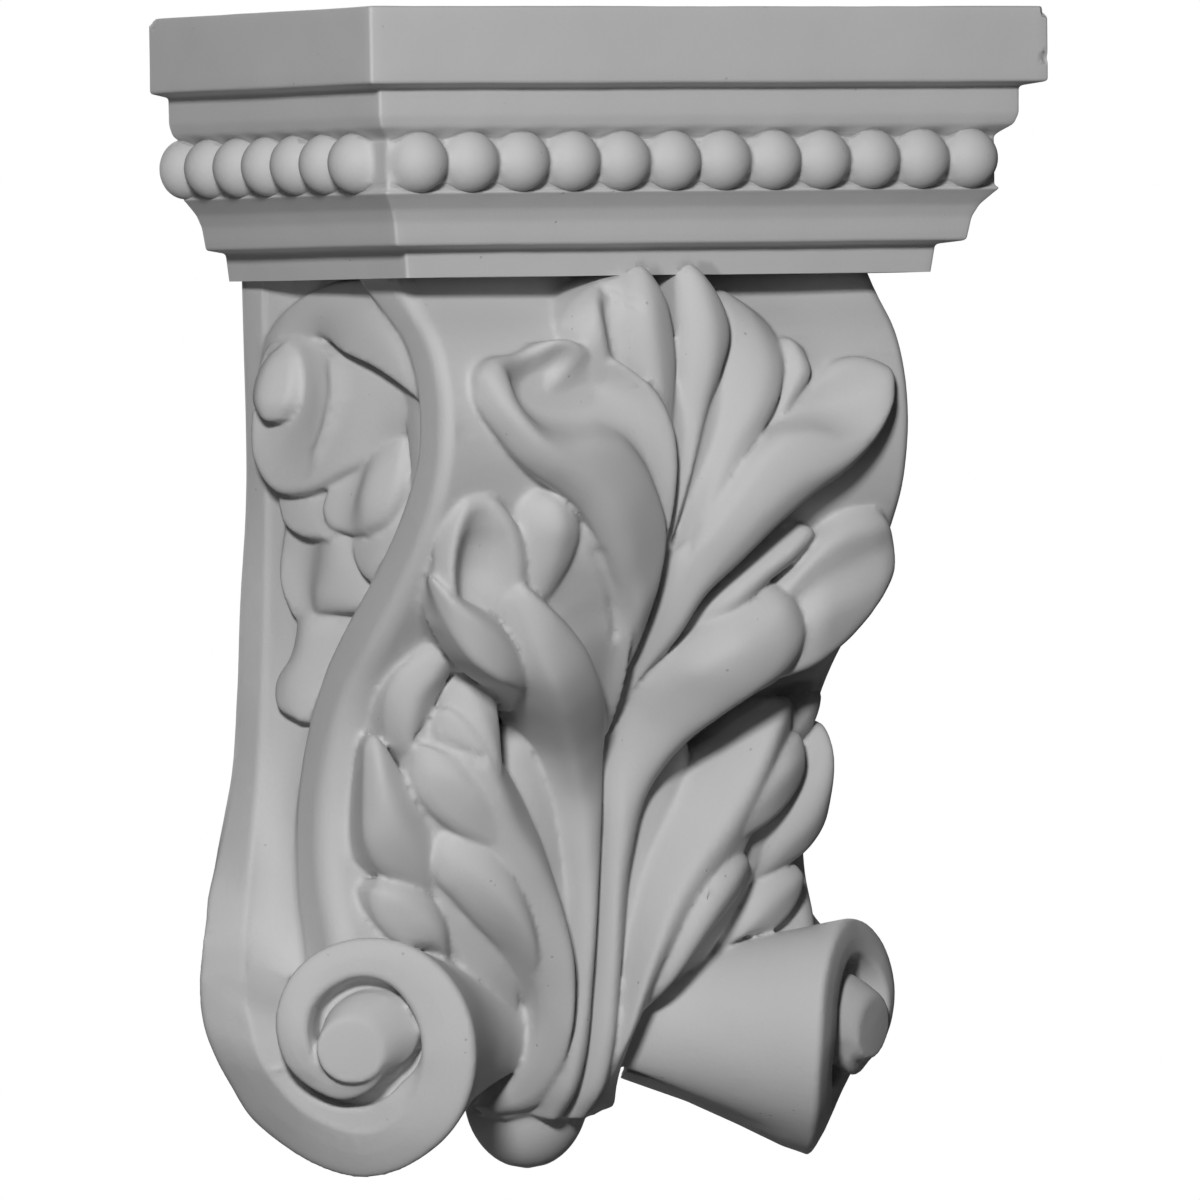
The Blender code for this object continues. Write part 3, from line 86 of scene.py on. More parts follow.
# Beads, and the strip of the cap that they run softly into
BEAD_RADIUS = 8.0
BEAD_PITCH = 15.1
BEAD_DROP = 39.3
BEAD_INSET = 10.4
BEAD_SEGMENTS = 32
BEAD_RINGS = 16
FRONT_BEADS = 12
SIDE_BEADS = 7
FIRST_SIDE_BEAD = 90.6
LAST_SIDE_BEAD = 0.4
STRIP_PROUD = 0.15
STRIP_THICK = 5.0
STRIP_HALF = 6.0
BEAD_TRIANGLES = 40000
BEAD_SOFTENING = 12
CHIPS = [  # half-width, depth, height over the top and radius of each knock on the cap's edges
    (104.4, 118.4, 1.6, 6.2), (102.2, 119.6, -13.0, 4.2), (103.6, 96.0, 2.6, 3.4), (-54.4, 118.0, 2.6, 3.6),
    (15.7, 118.0, 2.5, 3.4), (-104.2, 0.6, 3.2, 5.6), (-103.8, 62.0, 2.8, 3.2),
]
CHIP_FACETS = 3
CHIP_ROUGHNESS = 0.22
CHIP_GRAIN = 1.3

# Bracket
BRACKET_TOP = 88.0
BRACKET_FOOT = -98.0
BRACKET_LEVELS = 140
BEHIND_WALL = 4.0
WALL_HALF_WIDTH = 75.5
DRAFT = 5.5 / 95.0
FRONT_HALF_WIDTH = 70.0
CORNER_IN = 2.6
CORNER_REACH = 3.4
CORNER_FLARE = 0.7
CORNER_TURNS = (0.0, 0.3, 0.6, 0.9, 1.2, 1.45)
FRONT_SHARES = (0.9, 0.66, 0.33, 0.0)
FRONT_CROWN = 1.5
BAND_SHARES = (0.5, 0.9)
BAND_ARRIS = (0.5, 0.6)
BAND_START = 2.0
STRIP_SHARES = [  # share of the way across the back strip, and how far its rounded edge is drawn in
    (0.0, 0.6), (0.1, 0.0), (0.5, 0.0), (0.9, 0.0), (1.0, 0.6),
]
FRONT_DEPTH = [  # height, depth of the front arris
    (90.0, 71.0), (82.0, 77.0), (77.5, 81.0), (68.5, 90.0), (57.0, 95.5), (44.0, 96.9), (32.0, 94.8),
    (25.0, 92.0), (19.5, 88.7), (2.0, 75.4), (-10.0, 64.7), (-22.0, 53.0), (-31.5, 46.2),
    (-38.0, 43.2), (-60.0, 37.6), (-75.6, 38.8), (-88.0, 43.0), (-100.0, 44.0), (-110.0, 40.0),
    (-122.0, 28.0), (-132.0, 14.0), (-142.0, 2.0),
]
BAND_DEPTH = [  # height, depth of the side band's inner edge
    (90.0, 48.0), (82.0, 56.0), (78.0, 61.5), (68.0, 74.5), (58.6, 80.3), (47.0, 82.3), (37.0, 81.2),
    (25.0, 75.1), (7.6, 61.0), (-4.4, 48.8), (-15.5, 38.6), (-26.0, 31.4), (-39.0, 25.6),
    (-52.0, 22.3), (-65.0, 21.2), (-76.0, 21.4), (-91.0, 24.3), (-116.0, 24.0),
]
STRIP = [  # height, half-width and depth of the back strip's outer edge, then of its inner edge
    (90.0, 75.5, 0.0, 74.9, 10.6), (20.0, 75.6, 0.0, 74.9, 10.6), (0.0, 77.4, 0.0, 75.5, 10.6),
    (-26.0, 79.0, 0.0, 77.2, 11.0), (-47.0, 80.9, 0.0, 79.2, 11.5), (-57.5, 83.6, 0.3, 81.0, 12.6),
    (-68.0, 87.0, 1.5, 83.4, 14.7), (-77.6, 90.9, 3.5, 84.4, 14.6), (-88.0, 93.6, 6.5, 86.6, 16.4),
    (-98.0, 99.5, 13.8, 91.5, 24.1),
]
RECESS = [(90.0, 8.0), (0.0, 8.0), (-20.0, 6.0), (-40.0, 2.5), (-60.0, 0.8), (-100.0, 0.5)]
RECESS_SHARES = (0.03, 0.1, 0.25, 0.4, 0.55, 0.7, 0.85, 0.97)
RECESS_EDGE = 0.8
RECESS_CURVE = 1.5
HOLLOW = 1.5

# Volutes
EYE = (77.5, 56.8, -115.8)
RIBBON = [  # turn, then radius and rise of the outer edge, the band's inner line and the groove's edge
    (145, 57.4, -26.4, 40.8, -18.5, 27, -21), (149, 54.8, -24.4, 38.4, -14.6, 24, -18),
    (158, 49.7, -15.8, 32.3, -5.3, 20.5, -13.5), (172, 44.1, -10, 27.7, -3, 18.5, -10),
    (184, 40.9, -11, 26, -3.4, 17.8, -9.3), (195, 39, -13.8, 24.6, -4.6, 18.2, -9),
    (209, 38.2, -17, 23.4, -6.6, 18.4, -8.9), (224, 36.3, -18.5, 22.6, -8, 18.1, -9),
    (242, 35, -17.5, 21.5, -8.5, 17, -9), (266, 34.3, -15, 21.3, -8, 15.6, -8.5),
    (280, 33.3, -12.8, 20.8, -7.2, 15, -8), (297, 32.2, -10, 19.5, -6, 14.4, -7),
    (320, 31.8, -6.8, 18, -5, 14, -7), (340, 31.5, -5, 17.2, -4, 15.5, -6.5),
    (355, 31.3, -4, 17.2, -3, 16.9, -5), (390, 31, -3.2, 17.8, -2.4, 17.5, -4),
    (430, 30, -1.6, 19.4, -0.9, 19.1, -3), (450, 28.7, -0.4, 18.8, 0.4, 18.5, -1.8),
    (463, 27.8, 1, 17.8, 1.4, 17.5, -1), (487, 25.6, 3.4, 15.8, 3.6, 15.5, 1),
    (510, 22.7, 4.6, 13.2, 4.6, 12.9, 1.6), (533, 20, 4, 11.2, 4.2, 10.9, 1.6),
    (556, 18, 2.2, 10.2, 2.6, 9.9, 0.6), (580, 16, -0.8, 8, 0.8, 7.6, 0), (610, 14.2, -2.2, 5, 0.8, 4, 0),
    (640, 11.8, -2.3, 3, 0.8, 2.5, 0), (680, 9.5, -1.5, 2, 0.8, 1.5, 0),
]
RIBBON_START = 145.0
RIBBON_END = 680.0
RIBBON_STEP = 3.0
RIBBON_MERGE = 14.0
RIBBON_SINK = 2.2
RIBBON_SINK_IN = 0.5
RIBBON_BACK = 13.0
RIBBON_TAPER = 8.0
RIBBON_TAPER_SHARE = 0.7
GROOVE_FLOOR = -13.0

# The scroll's section: its least widths, and how far in and how far down each of its turns is
LEAST_BAND = 1.0
LEAST_LIP = 0.3
LEAST_GROOVE = 0.4
RIM_SIDE = ((0.7, 2.6), (0.1, 1.4))
RIM_ARRIS = (0.7, 0.4)
RIM_FLAT = 2.4
BAND_CROWN = 0.3
INNER_ARRIS = (0.8, 0.1)
INNER_FALL = (0.1, 0.9)
LIP_SINK = 0.4
GROOVE_ARRIS = (0.3, 0.8)
GROOVE_IN = 0.5
GROOVE_ROOM = 2.0

# The knob: where it stands, its profile and the tilt of its face
KNOB_FOOT = [  # turn, radius where the knob meets the groove's floor
    (-30, 10.4), (-12, 12.5), (4, 14.4), (15, 15.6), (30, 16.1), (60, 16.4), (75, 15.6), (89, 15),
    (104, 13.9), (125, 12.4), (146, 10.7), (169, 9.9), (190, 9.9), (300, 10.0), (330, 10.4),
]
KNOB = [  # rise, share of the way in from the foot to the disc's edge
    (-14.0, -0.1), (-8.0, 0.0), (-4.5, 0.12), (-1.6, 0.4), (1.6, 0.82), (2.6, 1.0), (3.0, 1.15),
]
KNOB_TURNS = (-30.0, 330.0, 5.0)
KNOB_DISC = 8.6
KNOB_LEAN = 0.1
KNOB_TURN = -0.27
KNOB_LEAN_FROM = -8.0
KNOB_LEAN_REACH = 3.0

# The horn, the side of the volute towards the wall and the root between them
HORN = [  # half-width, depth, height and radius along the horn, from the middle out
    (0.0, 33.0, -106.0, 14.4), (24.0, 33.4, -110.0, 16.6), (44.0, 36.0, -114.2, 20.8),
]
HORN_LEAN = (0.0, 6.0, 24.0)
HORN_WIDEST = 34.5
HORN_LAP = 195.0
HORN_AROUND = 120
HORN_RINGS = 36
HORN_MOUTH = (0.0, 1.5)
HORN_HOLLOW = ((4.0, 1.5), (5.0, 9.0))
BACK_FILL = [  # distance behind the face, share of the scroll's width and of its height
    (1.0, 1.0, 1.0), (8.0, 0.985, 0.93), (20.0, 0.95, 0.76), (34.0, 0.9, 0.58), (52.0, 0.85, 0.4),
]
BACK_FILL_END = 300.0
BACK_FILL_AROUND = 61
ROOT_TOP = -88.0
ROOT = [  # half-width, depth, and heights of its underside at the horn and at the wall
    (-6.0, 33.0, -109.0, -103.0), (0.0, 33.0, -109.0, -103.0), (24.0, 33.4, -113.0, -108.0),
    (44.0, 36.0, -118.0, -116.0), (58.0, 22.0, -109.0, -109.0), (72.0, 8.0, -99.0, -99.0),
]

# The drop under the bracket
FOOT_DEPTH = 12.5
FOOT_HEIGHT = -132.0
FOOT_RADIUS = 16.5
FOOT_HALF_HEIGHT = 20.0
FOOT_LEVELS = 41
FOOT_AROUND = 72
FOOT_END = 0.0004

# Leaf: the stem that both middle lobes rise from, rail by rail
STEM = [
    [(0.4, -138, 33), (0.4, -130, 41), (0.4, -120, 46), (0.4, -100, 49), (0.4, -60, 54.5),
     (0.4, -38, 55.5)],
    [(2.6, -138, 34), (3, -130, 43), (3, -120, 48), (3, -100, 52.5), (3, -60, 58)],
    [(5, -138, 34), (5.5, -130, 43), (5.5, -120, 48), (5.5, -100, 52)],
    [(7.5, -137, 31), (8.7, -128, 40), (8.7, -120, 44), (8.5, -100, 48), (9, -85, 50), (10.2, -69, 52.2)],
]

# How far the undersides of the stem, of the fans and of the lowest tips lie behind their faces, along them
STEM_THICK = [(0, 9), (0.1, 30), (0.6, 30), (0.8, 18), (1, 9)]
FAN_THICK = [(0, 30), (0.5, 20), (1, 10)]
TIP_THICK = [(0, 20), (0.6, 14), (1, 8)]

# Leaf: each lobe is skinned over rails that run from its root to its tip, inner edge first.
# roll is the radius of its rounded rim, and thick how far its underside lies behind its face.
LOBES = {
    "crown": dict(sides=LEFT, roll=3.0, rails=[
        [(0.4, -6, 74), (0.4, 30, 91.5), (0.5, 51, 96), (0.9, 64, 97.5), (1.8, 72, 97), (3.6, 78.5, 96.5),
         (6, 83, 95.5), (7.5, 85, 95)],
        [(1, -6, 76), (3.3, 30, 95), (7, 50, 98.5), (9.6, 62, 100.5), (10.8, 70, 100.8), (11, 77, 99.5),
         (10.6, 82.5, 97), (10.2, 86, 95)],
        [(1.8, -6, 74), (6, 34, 94), (10.8, 50, 96), (14.5, 58.8, 97), (17.5, 68.4, 97), (18, 75, 96.5),
         (16.5, 80.5, 96), (13.5, 84.5, 95)],
    ]),
    "crown_second": dict(sides=RIGHT, roll=3.0, rails=[
        [(0.4, -6, 74), (0.4, 30, 91.5), (0.4, 51, 96), (0.4, 64, 97), (0.4, 73, 96.5), (0.6, 80, 95.5),
         (1.2, 83.5, 95), (2.2, 85.2, 94.8)],
        [(1, -6, 76), (3, 30, 95), (5.8, 50, 98.5), (7.8, 62, 100.5), (8, 70, 100.5), (7, 77, 99),
         (6, 82.5, 97), (5.2, 86.3, 95)],
        [(1.8, -6, 74), (6, 34, 94), (10, 50, 96.5), (13.2, 58.8, 97.5), (15.6, 67, 97.5), (15, 73, 97),
         (12.5, 79, 96), (8.4, 84.6, 95)],
    ]),
    "crown_right": dict(sides=RIGHT, roll=3.0, rails=[
        [(1.2, -6, 74), (5, 20, 91), (9, 42, 94), (13.5, 58, 94.5), (17, 70, 92), (18, 76, 88),
         (20.4, 79, 84)],
        [(1.6, -6, 75), (8, 20, 95), (15, 38, 99), (21.5, 50, 100.5), (25.5, 60, 98.5), (26.5, 68, 94),
         (25.5, 74, 89), (22, 79, 84)],
        [(2.2, -6, 74), (9, 14, 93), (17, 30, 97.5), (24, 42, 99), (30, 52.6, 99), (32.5, 60, 96.5),
         (33.5, 66, 92), (32.4, 71, 87.5), (26.7, 76.5, 84), (22, 79.5, 83)],
    ]),
    "crown_left": dict(sides=LEFT, roll=3.0, rails=[
        [(6, 38, 88), (9, 52, 94), (10.5, 62, 97.5), (11, 70, 98.5), (11.5, 76, 98), (11.5, 81, 96.5),
         (11.5, 84.8, 94.5)],
        [(10, 38, 88), (13.5, 52, 94), (15.5, 61, 96.5), (16.5, 68.5, 97.5), (16.8, 74, 97.5),
         (16.8, 79, 96.5), (16.8, 83.6, 94)],
        [(12, 38, 88), (16, 52, 93.5), (18.8, 61, 95), (20.4, 68.5, 95), (20.8, 74, 94.5),
         (20.8, 78.5, 94.5), (20.8, 82, 93.5)],
        [(14, 38, 88), (19, 52, 94.5), (22.6, 61, 98.5), (24.8, 67.5, 100), (25.6, 72.5, 99.5),
         (25.6, 76.6, 97.5), (25.2, 79.8, 93.8)],
        [(17, 39, 86), (23.5, 52, 93), (27.6, 60.5, 97), (29.6, 66, 98), (30, 70.5, 97), (29.6, 74, 95.5),
         (28.8, 76.8, 93)],
        [(20, 40, 84), (26.5, 52.5, 90), (30.6, 60, 93), (32.4, 65.5, 93.5), (32.6, 69, 93.5), (32, 72, 93),
         (30.8, 74, 92.5)],
    ]),
    "great_left": dict(sides=LEFT, roll=3.0, rails=[
        [(1.4, -34, 56), (3.2, -24, 66.5), (6.8, -13, 79.5), (9.8, -8, 84.5), (12.8, -2, 89), (17, 4, 93.5),
         (22.6, 11.3, 98), (28, 18, 101), (33.4, 23.7, 103), (40, 28.2, 104), (46.5, 32, 104.5),
         (52.3, 36.5, 104.5), (56.8, 42, 103.5), (60.7, 47.5, 102), (62.4, 51, 101), (62.8, 54.5, 100.5)],
        [(1.4, -34, 57.5), (2.8, -24, 67.5), (5.5, -12, 81), (8.5, -3, 90), (12.5, 6, 95.5),
         (17.5, 15, 101), (23.5, 23, 105), (30, 29.3, 107), (37, 33.2, 108), (43.5, 36.3, 108.5),
         (49.5, 40.5, 108.5), (54, 45, 107.8), (57.8, 50, 106), (60, 54.5, 104), (62.2, 58.5, 101.5)],
        [(1.1, -34, 57.5), (2.2, -24, 67.5), (3.9, -10, 82), (4.6, 4, 92.3), (5.6, 15, 97),
         (10.3, 25.2, 101), (15.9, 32.8, 103.5), (22.2, 38.4, 105), (28.6, 40.2, 106), (39.7, 41, 106.5),
         (46.2, 42.8, 106.5), (51, 46.8, 106), (54.2, 51.5, 105), (55.8, 56.5, 103.5), (58.4, 61.8, 101)],
        [(1, -34, 57), (1.9, -24, 66.5), (3.2, -10, 81), (3.7, 5, 90.5), (4.6, 17, 94.5), (8.2, 27.6, 96.5),
         (12.6, 36.4, 97.5), (18, 42.6, 97.5), (24.5, 46, 97), (36, 46.8, 96.5), (43, 48.5, 96),
         (47.8, 51.8, 95.8), (50.3, 55.5, 96.5), (51.8, 59.3, 98.3), (53.5, 62.9, 99.8)],
        [(0.8, -34, 56.3), (1.3, -24, 65), (2, -10, 79.5), (2.6, 6, 89.8), (3.4, 18, 94), (6.3, 30, 96.8),
         (9.5, 40, 98.3), (14, 47.5, 98), (20.5, 52.5, 96.3), (26, 54.8, 94.8), (31, 56.5, 95.5),
         (35.5, 58, 96.5), (39.5, 58.8, 94), (43.5, 60.5, 95.3), (49.5, 63.2, 98.5)],
        [(0.5, -34, 55.5), (0.6, -24, 63.5), (0.9, -10, 78.3), (1.6, 4, 89.3), (2.1, 14, 94.3),
         (1.7, 26.5, 98.2), (2.3, 36, 100.5), (5, 46, 102), (10.5, 54.2, 102.5), (16.5, 59, 102),
         (21, 61.8, 101.3), (25, 63.3, 98.8), (29.5, 65, 100.3), (35, 66.9, 101.5), (40, 66.8, 101),
         (43.5, 65.6, 98.5), (46.3, 64.2, 97.5)],
    ]),
    "great_right": dict(sides=RIGHT, roll=3.0, rails=[
        [(1.5, -34, 56), (3.5, -24, 66), (8, -12, 81), (12, 0, 90.5), (19.5, 8.5, 96), (28.5, 18, 100),
         (37.5, 25.5, 102.5), (46, 31, 104), (52.5, 36.5, 104.5), (58, 42.5, 103.5), (61.8, 48.5, 102),
         (63.2, 53.5, 100.5)],
        [(1.2, -34, 57.5), (2.8, -22, 70), (5.5, -8, 85.5), (8, 2, 92.5), (13.5, 12, 98.5), (21, 21.5, 103),
         (30, 29.5, 106), (38, 33, 107.5), (46, 36.5, 108), (52.5, 41, 107.5), (58, 47, 106),
         (62, 52.5, 103), (63.6, 56, 101)],
        [(0.9, -34, 57.5), (2, -22, 69.5), (3.5, -8, 84), (4.2, 4, 91), (7.3, 16.7, 97), (14.6, 28.1, 101),
         (22, 36.5, 103.5), (28.7, 40.5, 105), (36, 41.5, 106), (43, 41, 106.5), (49, 42.5, 106.5),
         (55, 47.5, 105.5), (60, 54, 103), (62.8, 58, 101.3)],
        [(0.7, -34, 56.5), (1.4, -22, 68), (2.2, -8, 82), (3, 6, 90.5), (6, 16.5, 93.5), (12.5, 28, 95.5),
         (19.5, 37.5, 96.5), (27, 44, 96.5), (34.5, 47.5, 97), (42, 49, 98), (48.5, 51, 99.5),
         (54, 55, 100.5), (58.5, 58, 101), (60.8, 59.6, 100.8)],
        [(0.4, -34, 55.5), (0.4, -24, 63), (0.5, -10, 78), (1, 4, 88), (1.8, 11, 91), (5.2, 15, 93),
         (10.8, 24, 95), (18.8, 35.5, 97), (30.2, 47.5, 97.5), (36, 52.5, 97), (42.3, 57, 97),
         (48.6, 60.6, 98), (54, 61.5, 99), (58, 60.8, 100)],
    ]),
    "finger": dict(sides=RIGHT, roll=2.0, rails=[
        [(22, 36, 90), (29, 49, 94.5), (31, 58, 94.5), (31.5, 65, 92)],
        [(26, 36, 92), (32, 50, 97.5), (35.5, 59, 98.5), (35.5, 66.5, 94)],
        [(30, 36, 90), (36, 50, 96), (39.5, 57, 98), (40, 63.5, 94)],
    ]),
    "web": dict(sides=LEFT, roll=1.5, rails=[
        [(9, -37, 60), (14, -30, 69), (19.5, -22, 76.5), (26, -14.5, 81.5), (34, -8, 84), (40, -2, 86),
         (43, 4, 89.5), (43.5, 10, 92), (43, 15, 93)],
        [(4, -36, 60), (6.5, -28, 68), (9.5, -17, 76.5), (11.5, -9.5, 81.5), (13.5, -4, 84.5),
         (17.5, 2, 88.5), (24, 10.5, 93), (30, 19, 95)],
        [(1, -36, 60), (3, -28, 69.5), (5.5, -17, 79), (8, -9, 85), (10.5, -2, 90), (14, 5, 94.5),
         (19, 12, 98), (23, 17, 99.5)],
    ]),
    "thumb": dict(sides=LEFT, roll=3.5, rails=[
        [(34, -8, 78), (31.5, 3, 88), (29.8, 11, 93.5), (29.4, 18.5, 96), (31, 23.7, 96),
         (34.5, 27.2, 95.5), (38, 28.9, 94.5)],
        [(38, -9, 79), (37.5, 3, 90.5), (37.5, 12, 96.5), (38, 19, 99.5), (38.8, 24.5, 98.5),
         (40.2, 28.9, 94.8)],
        [(42, -8, 77), (44, 3, 87.5), (45, 11, 91.5), (46.3, 17, 92.8), (46.6, 22, 93.3),
         (45.2, 26.3, 93.8), (42, 28.8, 94.2)],
    ]),
    "leaflet": dict(sides=RIGHT, roll=2.5, rails=[
        [(9, -12, 72), (16, -1, 85), (24, 7, 88), (32, 13, 89.5), (39, 18.5, 90)],
        [(12, -14, 73), (20, -3, 87.5), (28, 5, 91), (36, 11, 92.5), (43, 17, 92)],
        [(15, -16, 71), (24, -5, 85), (32, 3, 88.5), (40, 9, 90), (45.5, 14.5, 90)],
    ]),
    "fan_left": dict(sides=LEFT, roll=2.0, thick=FAN_THICK, rails=[
        [(34, -18, 74), (39, -4, 85), (41.5, 5, 89), (43, 11, 91.5), (45.8, 17.5, 93), (50.3, 23.6, 94),
         (54, 26.8, 94), (56.5, 28.2, 93)],
        [(38, -18, 74), (43, -5, 86), (45.8, 4, 90.5), (47.3, 10.5, 93), (49.5, 16.5, 94.5),
         (52.5, 21.5, 95), (55.3, 25.3, 94.5), (57.8, 28.4, 93)],
        [(42, -18, 73), (48.5, -6, 83), (52, 1, 85), (52.8, 8, 86.5), (53.6, 14, 89), (55.5, 20, 92.5),
         (57.5, 25, 94), (59.3, 28.2, 93)],
        [(45, -18, 73), (53, -7, 82), (58, 0, 83.5), (59, 8, 84.5), (59.4, 14, 87.5), (59.8, 20, 92),
         (60.2, 24.8, 94), (60.6, 27.8, 93)],
        [(48, -18, 74), (57, -9, 86), (64, -1, 90), (66, 7, 91.5), (66.2, 14, 92.5), (65.4, 20, 93.5),
         (63.6, 24.6, 93.8), (61.8, 27.3, 93)],
        [(50, -19, 73), (59, -11, 84), (66.5, -2, 87), (68.4, 8, 88), (68.4, 15, 88.5), (67.3, 20.5, 90),
         (65.4, 24.5, 91.2), (63, 26.8, 92)],
    ]),
    "fan_left_low": dict(sides=LEFT, roll=2.0, thick=[(0, 25), (0.5, 16), (1, 9)], rails=[
        [(33, -24, 64), (42, -11, 81.5), (49, -4.5, 84), (55, -1.5, 86), (61, 1, 88), (66.5, 4.2, 89),
         (70.3, 7.3, 88.5)],
        [(33, -28, 66), (42, -18, 85.5), (51, -10.5, 91), (58, -6, 92.5), (63.5, -2.3, 92.3),
         (67.8, 1.9, 91), (70.5, 6.6, 88.8)],
        [(33, -30, 64), (42, -23.5, 83.5), (51, -20.5, 89), (58.5, -15.8, 90), (63.8, -9.5, 89.5),
         (68, -1.5, 88.5), (70.4, 5.5, 88)],
    ]),
    "fan_right": dict(sides=RIGHT, roll=2.5, thick=FAN_THICK, rails=[
        [(22, -12, 68), (32, 0, 83), (40, 8, 87), (46, 16, 88.5), (52, 21.3, 89.5), (58, 23, 90),
         (63, 23, 90)],
        [(25, -14, 69), (35, -2, 86), (43.4, 9, 91.5), (49, 13.2, 93), (54.2, 15.5, 93.5), (60.5, 17, 93.5),
         (66.5, 18, 92)],
        [(27, -16, 69), (38, -5, 85), (46, 2.5, 90), (53, 6, 91), (59, 8.5, 91.2), (64.5, 10.5, 91),
         (69.8, 12, 89.5)],
        [(28, -19, 69), (38, -10, 86), (46, -4.5, 91), (53, -2, 91.5), (59, 0, 91.5), (65, 2.5, 91),
         (70, 5, 89)],
        [(29, -22, 68), (38, -15, 85), (46, -10, 90), (52.5, -7.5, 90.3), (58.5, -6, 90),
         (63.5, -4.5, 89.3), (67, -1.5, 88)],
        [(30, -27, 66), (38, -22.6, 83), (46, -19.8, 86), (52.9, -15.7, 87), (58, -12, 87),
         (61.5, -8.5, 87), (64, -5, 87)],
    ]),
    "middle_left": dict(sides=LEFT, roll=3.0, thick=STEM_THICK, rails=[
        [*STEM[0], (3, -32, 62), (9, -27.5, 72), (16, -20.5, 81), (22, -13.5, 86), (29, -7, 89),
         (36, -1.5, 90.5), (41, 2.3, 91.5), (45, 5.2, 91.5)],
        [*STEM[1], (4.5, -44, 61), (8, -36, 68), (14, -29, 77.5), (20, -22, 85), (26, -15.5, 89.5),
         (32, -9.5, 92), (38, -3.5, 93.5), (43, 0.8, 93.2), (46.5, 4, 92)],
        [*STEM[2], (6.5, -69, 57), (10, -52, 61), (15.5, -43, 67), (22.5, -35, 76), (29, -28, 84.5),
         (34.5, -21, 90), (39, -13.5, 92), (43, -6, 92.3), (46, -1, 91.5), (47.8, 2.5, 90.5)],
        [*STEM[3], (14.8, -51, 55.5), (19.5, -41.5, 60), (27, -33.5, 68), (34, -27, 78.5),
         (39.5, -20.5, 86), (43.6, -13.7, 88), (46.8, -6.5, 88.3), (48.8, 0, 88.8)],
    ]),
    "middle_right": dict(sides=RIGHT, roll=3.0, thick=STEM_THICK, rails=[
        [*STEM[0], (1, -28.3, 60.4), (4, -20.7, 70.6), (10, -12.2, 79.5), (18.6, -3.8, 85), (26.6, 0.9, 86),
         (33.4, 3.1, 86), (37.6, 1.6, 86.5)],
        [*STEM[1], (4, -45, 60), (6, -34, 66), (9, -26, 76), (13, -19.5, 86), (20, -14, 91), (28, -8.5, 92),
         (34, -3.5, 91.5), (39.5, -1.2, 88)],
        [*STEM[2], (6.2, -68, 57), (9, -50, 61), (13, -40, 69), (20, -31, 81), (28, -23, 89),
         (34, -16, 91.5), (39, -10, 91), (41.6, -4.5, 88)],
        [*STEM[3], (13.5, -52, 56.5), (18, -42.5, 62), (24, -33.5, 71), (30, -27, 81), (36, -22.5, 86.5),
         (41, -17, 87.5), (42.8, -12, 87.5), (42.8, -7, 87)],
    ]),
    "under": dict(sides=BOTH, roll=2.0, thick=[(0, 9), (0.1, 20), (1, 30)], rails=[
        [(12, -138.5, 24), (5, -136, 30), (2.5, -128, 37), (2, -118, 42), (3, -104, 45), (4, -92, 46.5),
         (5, -80, 48), (7, -70, 49), (10.5, -58, 51), (15, -48, 53), (20, -40, 54), (23, -34, 53.5)],
        [(17, -137, 23), (9.5, -132, 31), (7.5, -122, 38.5), (8.5, -110, 44), (11.5, -98, 47.5),
         (15.5, -86, 49.5), (19.5, -74, 51), (24, -62, 52), (27.5, -50, 52), (28.5, -42, 52),
         (27, -35, 51.5)],
    ]),
    "blade": dict(sides=BOTH, roll=2.0, thick=[(0, 8), (0.08, 14), (0.2, 30), (1, 20)], rails=[
        [(16, -137, 25), (8.5, -134.5, 33), (6, -127.5, 39), (6.8, -118, 43), (8, -107, 45.5),
         (9.5, -92, 46.5), (11.5, -77, 46), (14.5, -64, 45), (19, -53, 45.5), (24.5, -46, 47.5),
         (30, -41.5, 50.5), (36, -37.5, 55), (41, -32.5, 59.5), (47, -28, 63)],
        [(17, -136.5, 26), (10, -133, 34.5), (7.3, -126, 42), (7.8, -116.5, 48.5), (9, -105, 52.5),
         (11, -92.5, 54.5), (14.5, -79, 56), (19.5, -67, 57), (25.5, -56.5, 58), (31, -47.5, 59.5),
         (36.5, -40.5, 62), (42, -34, 64.5), (49.5, -28, 64.3)],
        [(18, -136, 26.5), (11.5, -131.5, 35.5), (9, -124.5, 44), (9.2, -115, 51.5), (10.6, -103, 56.5),
         (13, -93, 59.5), (17.5, -81.5, 61.5), (24, -70, 63.5), (31.5, -59.5, 65), (37, -50, 67),
         (42.5, -40, 68), (48, -32, 66.5), (52, -28, 64)],
        [(19.8, -134.4, 26), (16.5, -128, 33.5), (14.7, -120, 41), (15, -112, 46.5), (17.8, -103, 50.5),
         (24, -94, 53), (32, -85, 55), (38, -76, 57), (42, -66, 59), (47, -55, 60.5), (51, -45, 61.5),
         (54.2, -36, 61.5), (54, -30, 62)],
    ]),
    "first_tip": dict(sides=LEFT, roll=2.5, thick=[(0, 25), (0.6, 18), (1, 10)], rails=[
        [(34, -50, 63), (36, -40, 65), (36.5, -32, 65), (37.5, -26, 65), (41, -20.5, 64),
         (44.5, -17.5, 63.5)],
        [(38, -50, 66), (40.5, -41, 68), (43, -33, 68), (45, -26, 66.5), (46.5, -20.5, 65),
         (46.6, -17.3, 63.5)],
        [(44, -48, 62), (47.5, -40, 63), (50, -34, 63), (51.2, -28, 62), (50.6, -22, 62),
         (48.5, -18.5, 62.5)],
    ]),
    "second_tip": dict(sides=BOTH, roll=2.5, thick=[(0, 25), (0.6, 18), (1, 9)], rails=[
        [(28, -62, 61), (36, -52, 63.5), (44, -44, 64.5), (51, -39, 63.5), (56, -37, 61.5),
         (58.8, -38.2, 60)],
        [(30, -66, 62), (38, -57, 65), (46, -50, 66.5), (52, -45.5, 65.5), (57, -43, 62.5),
         (59.3, -42, 60.3)],
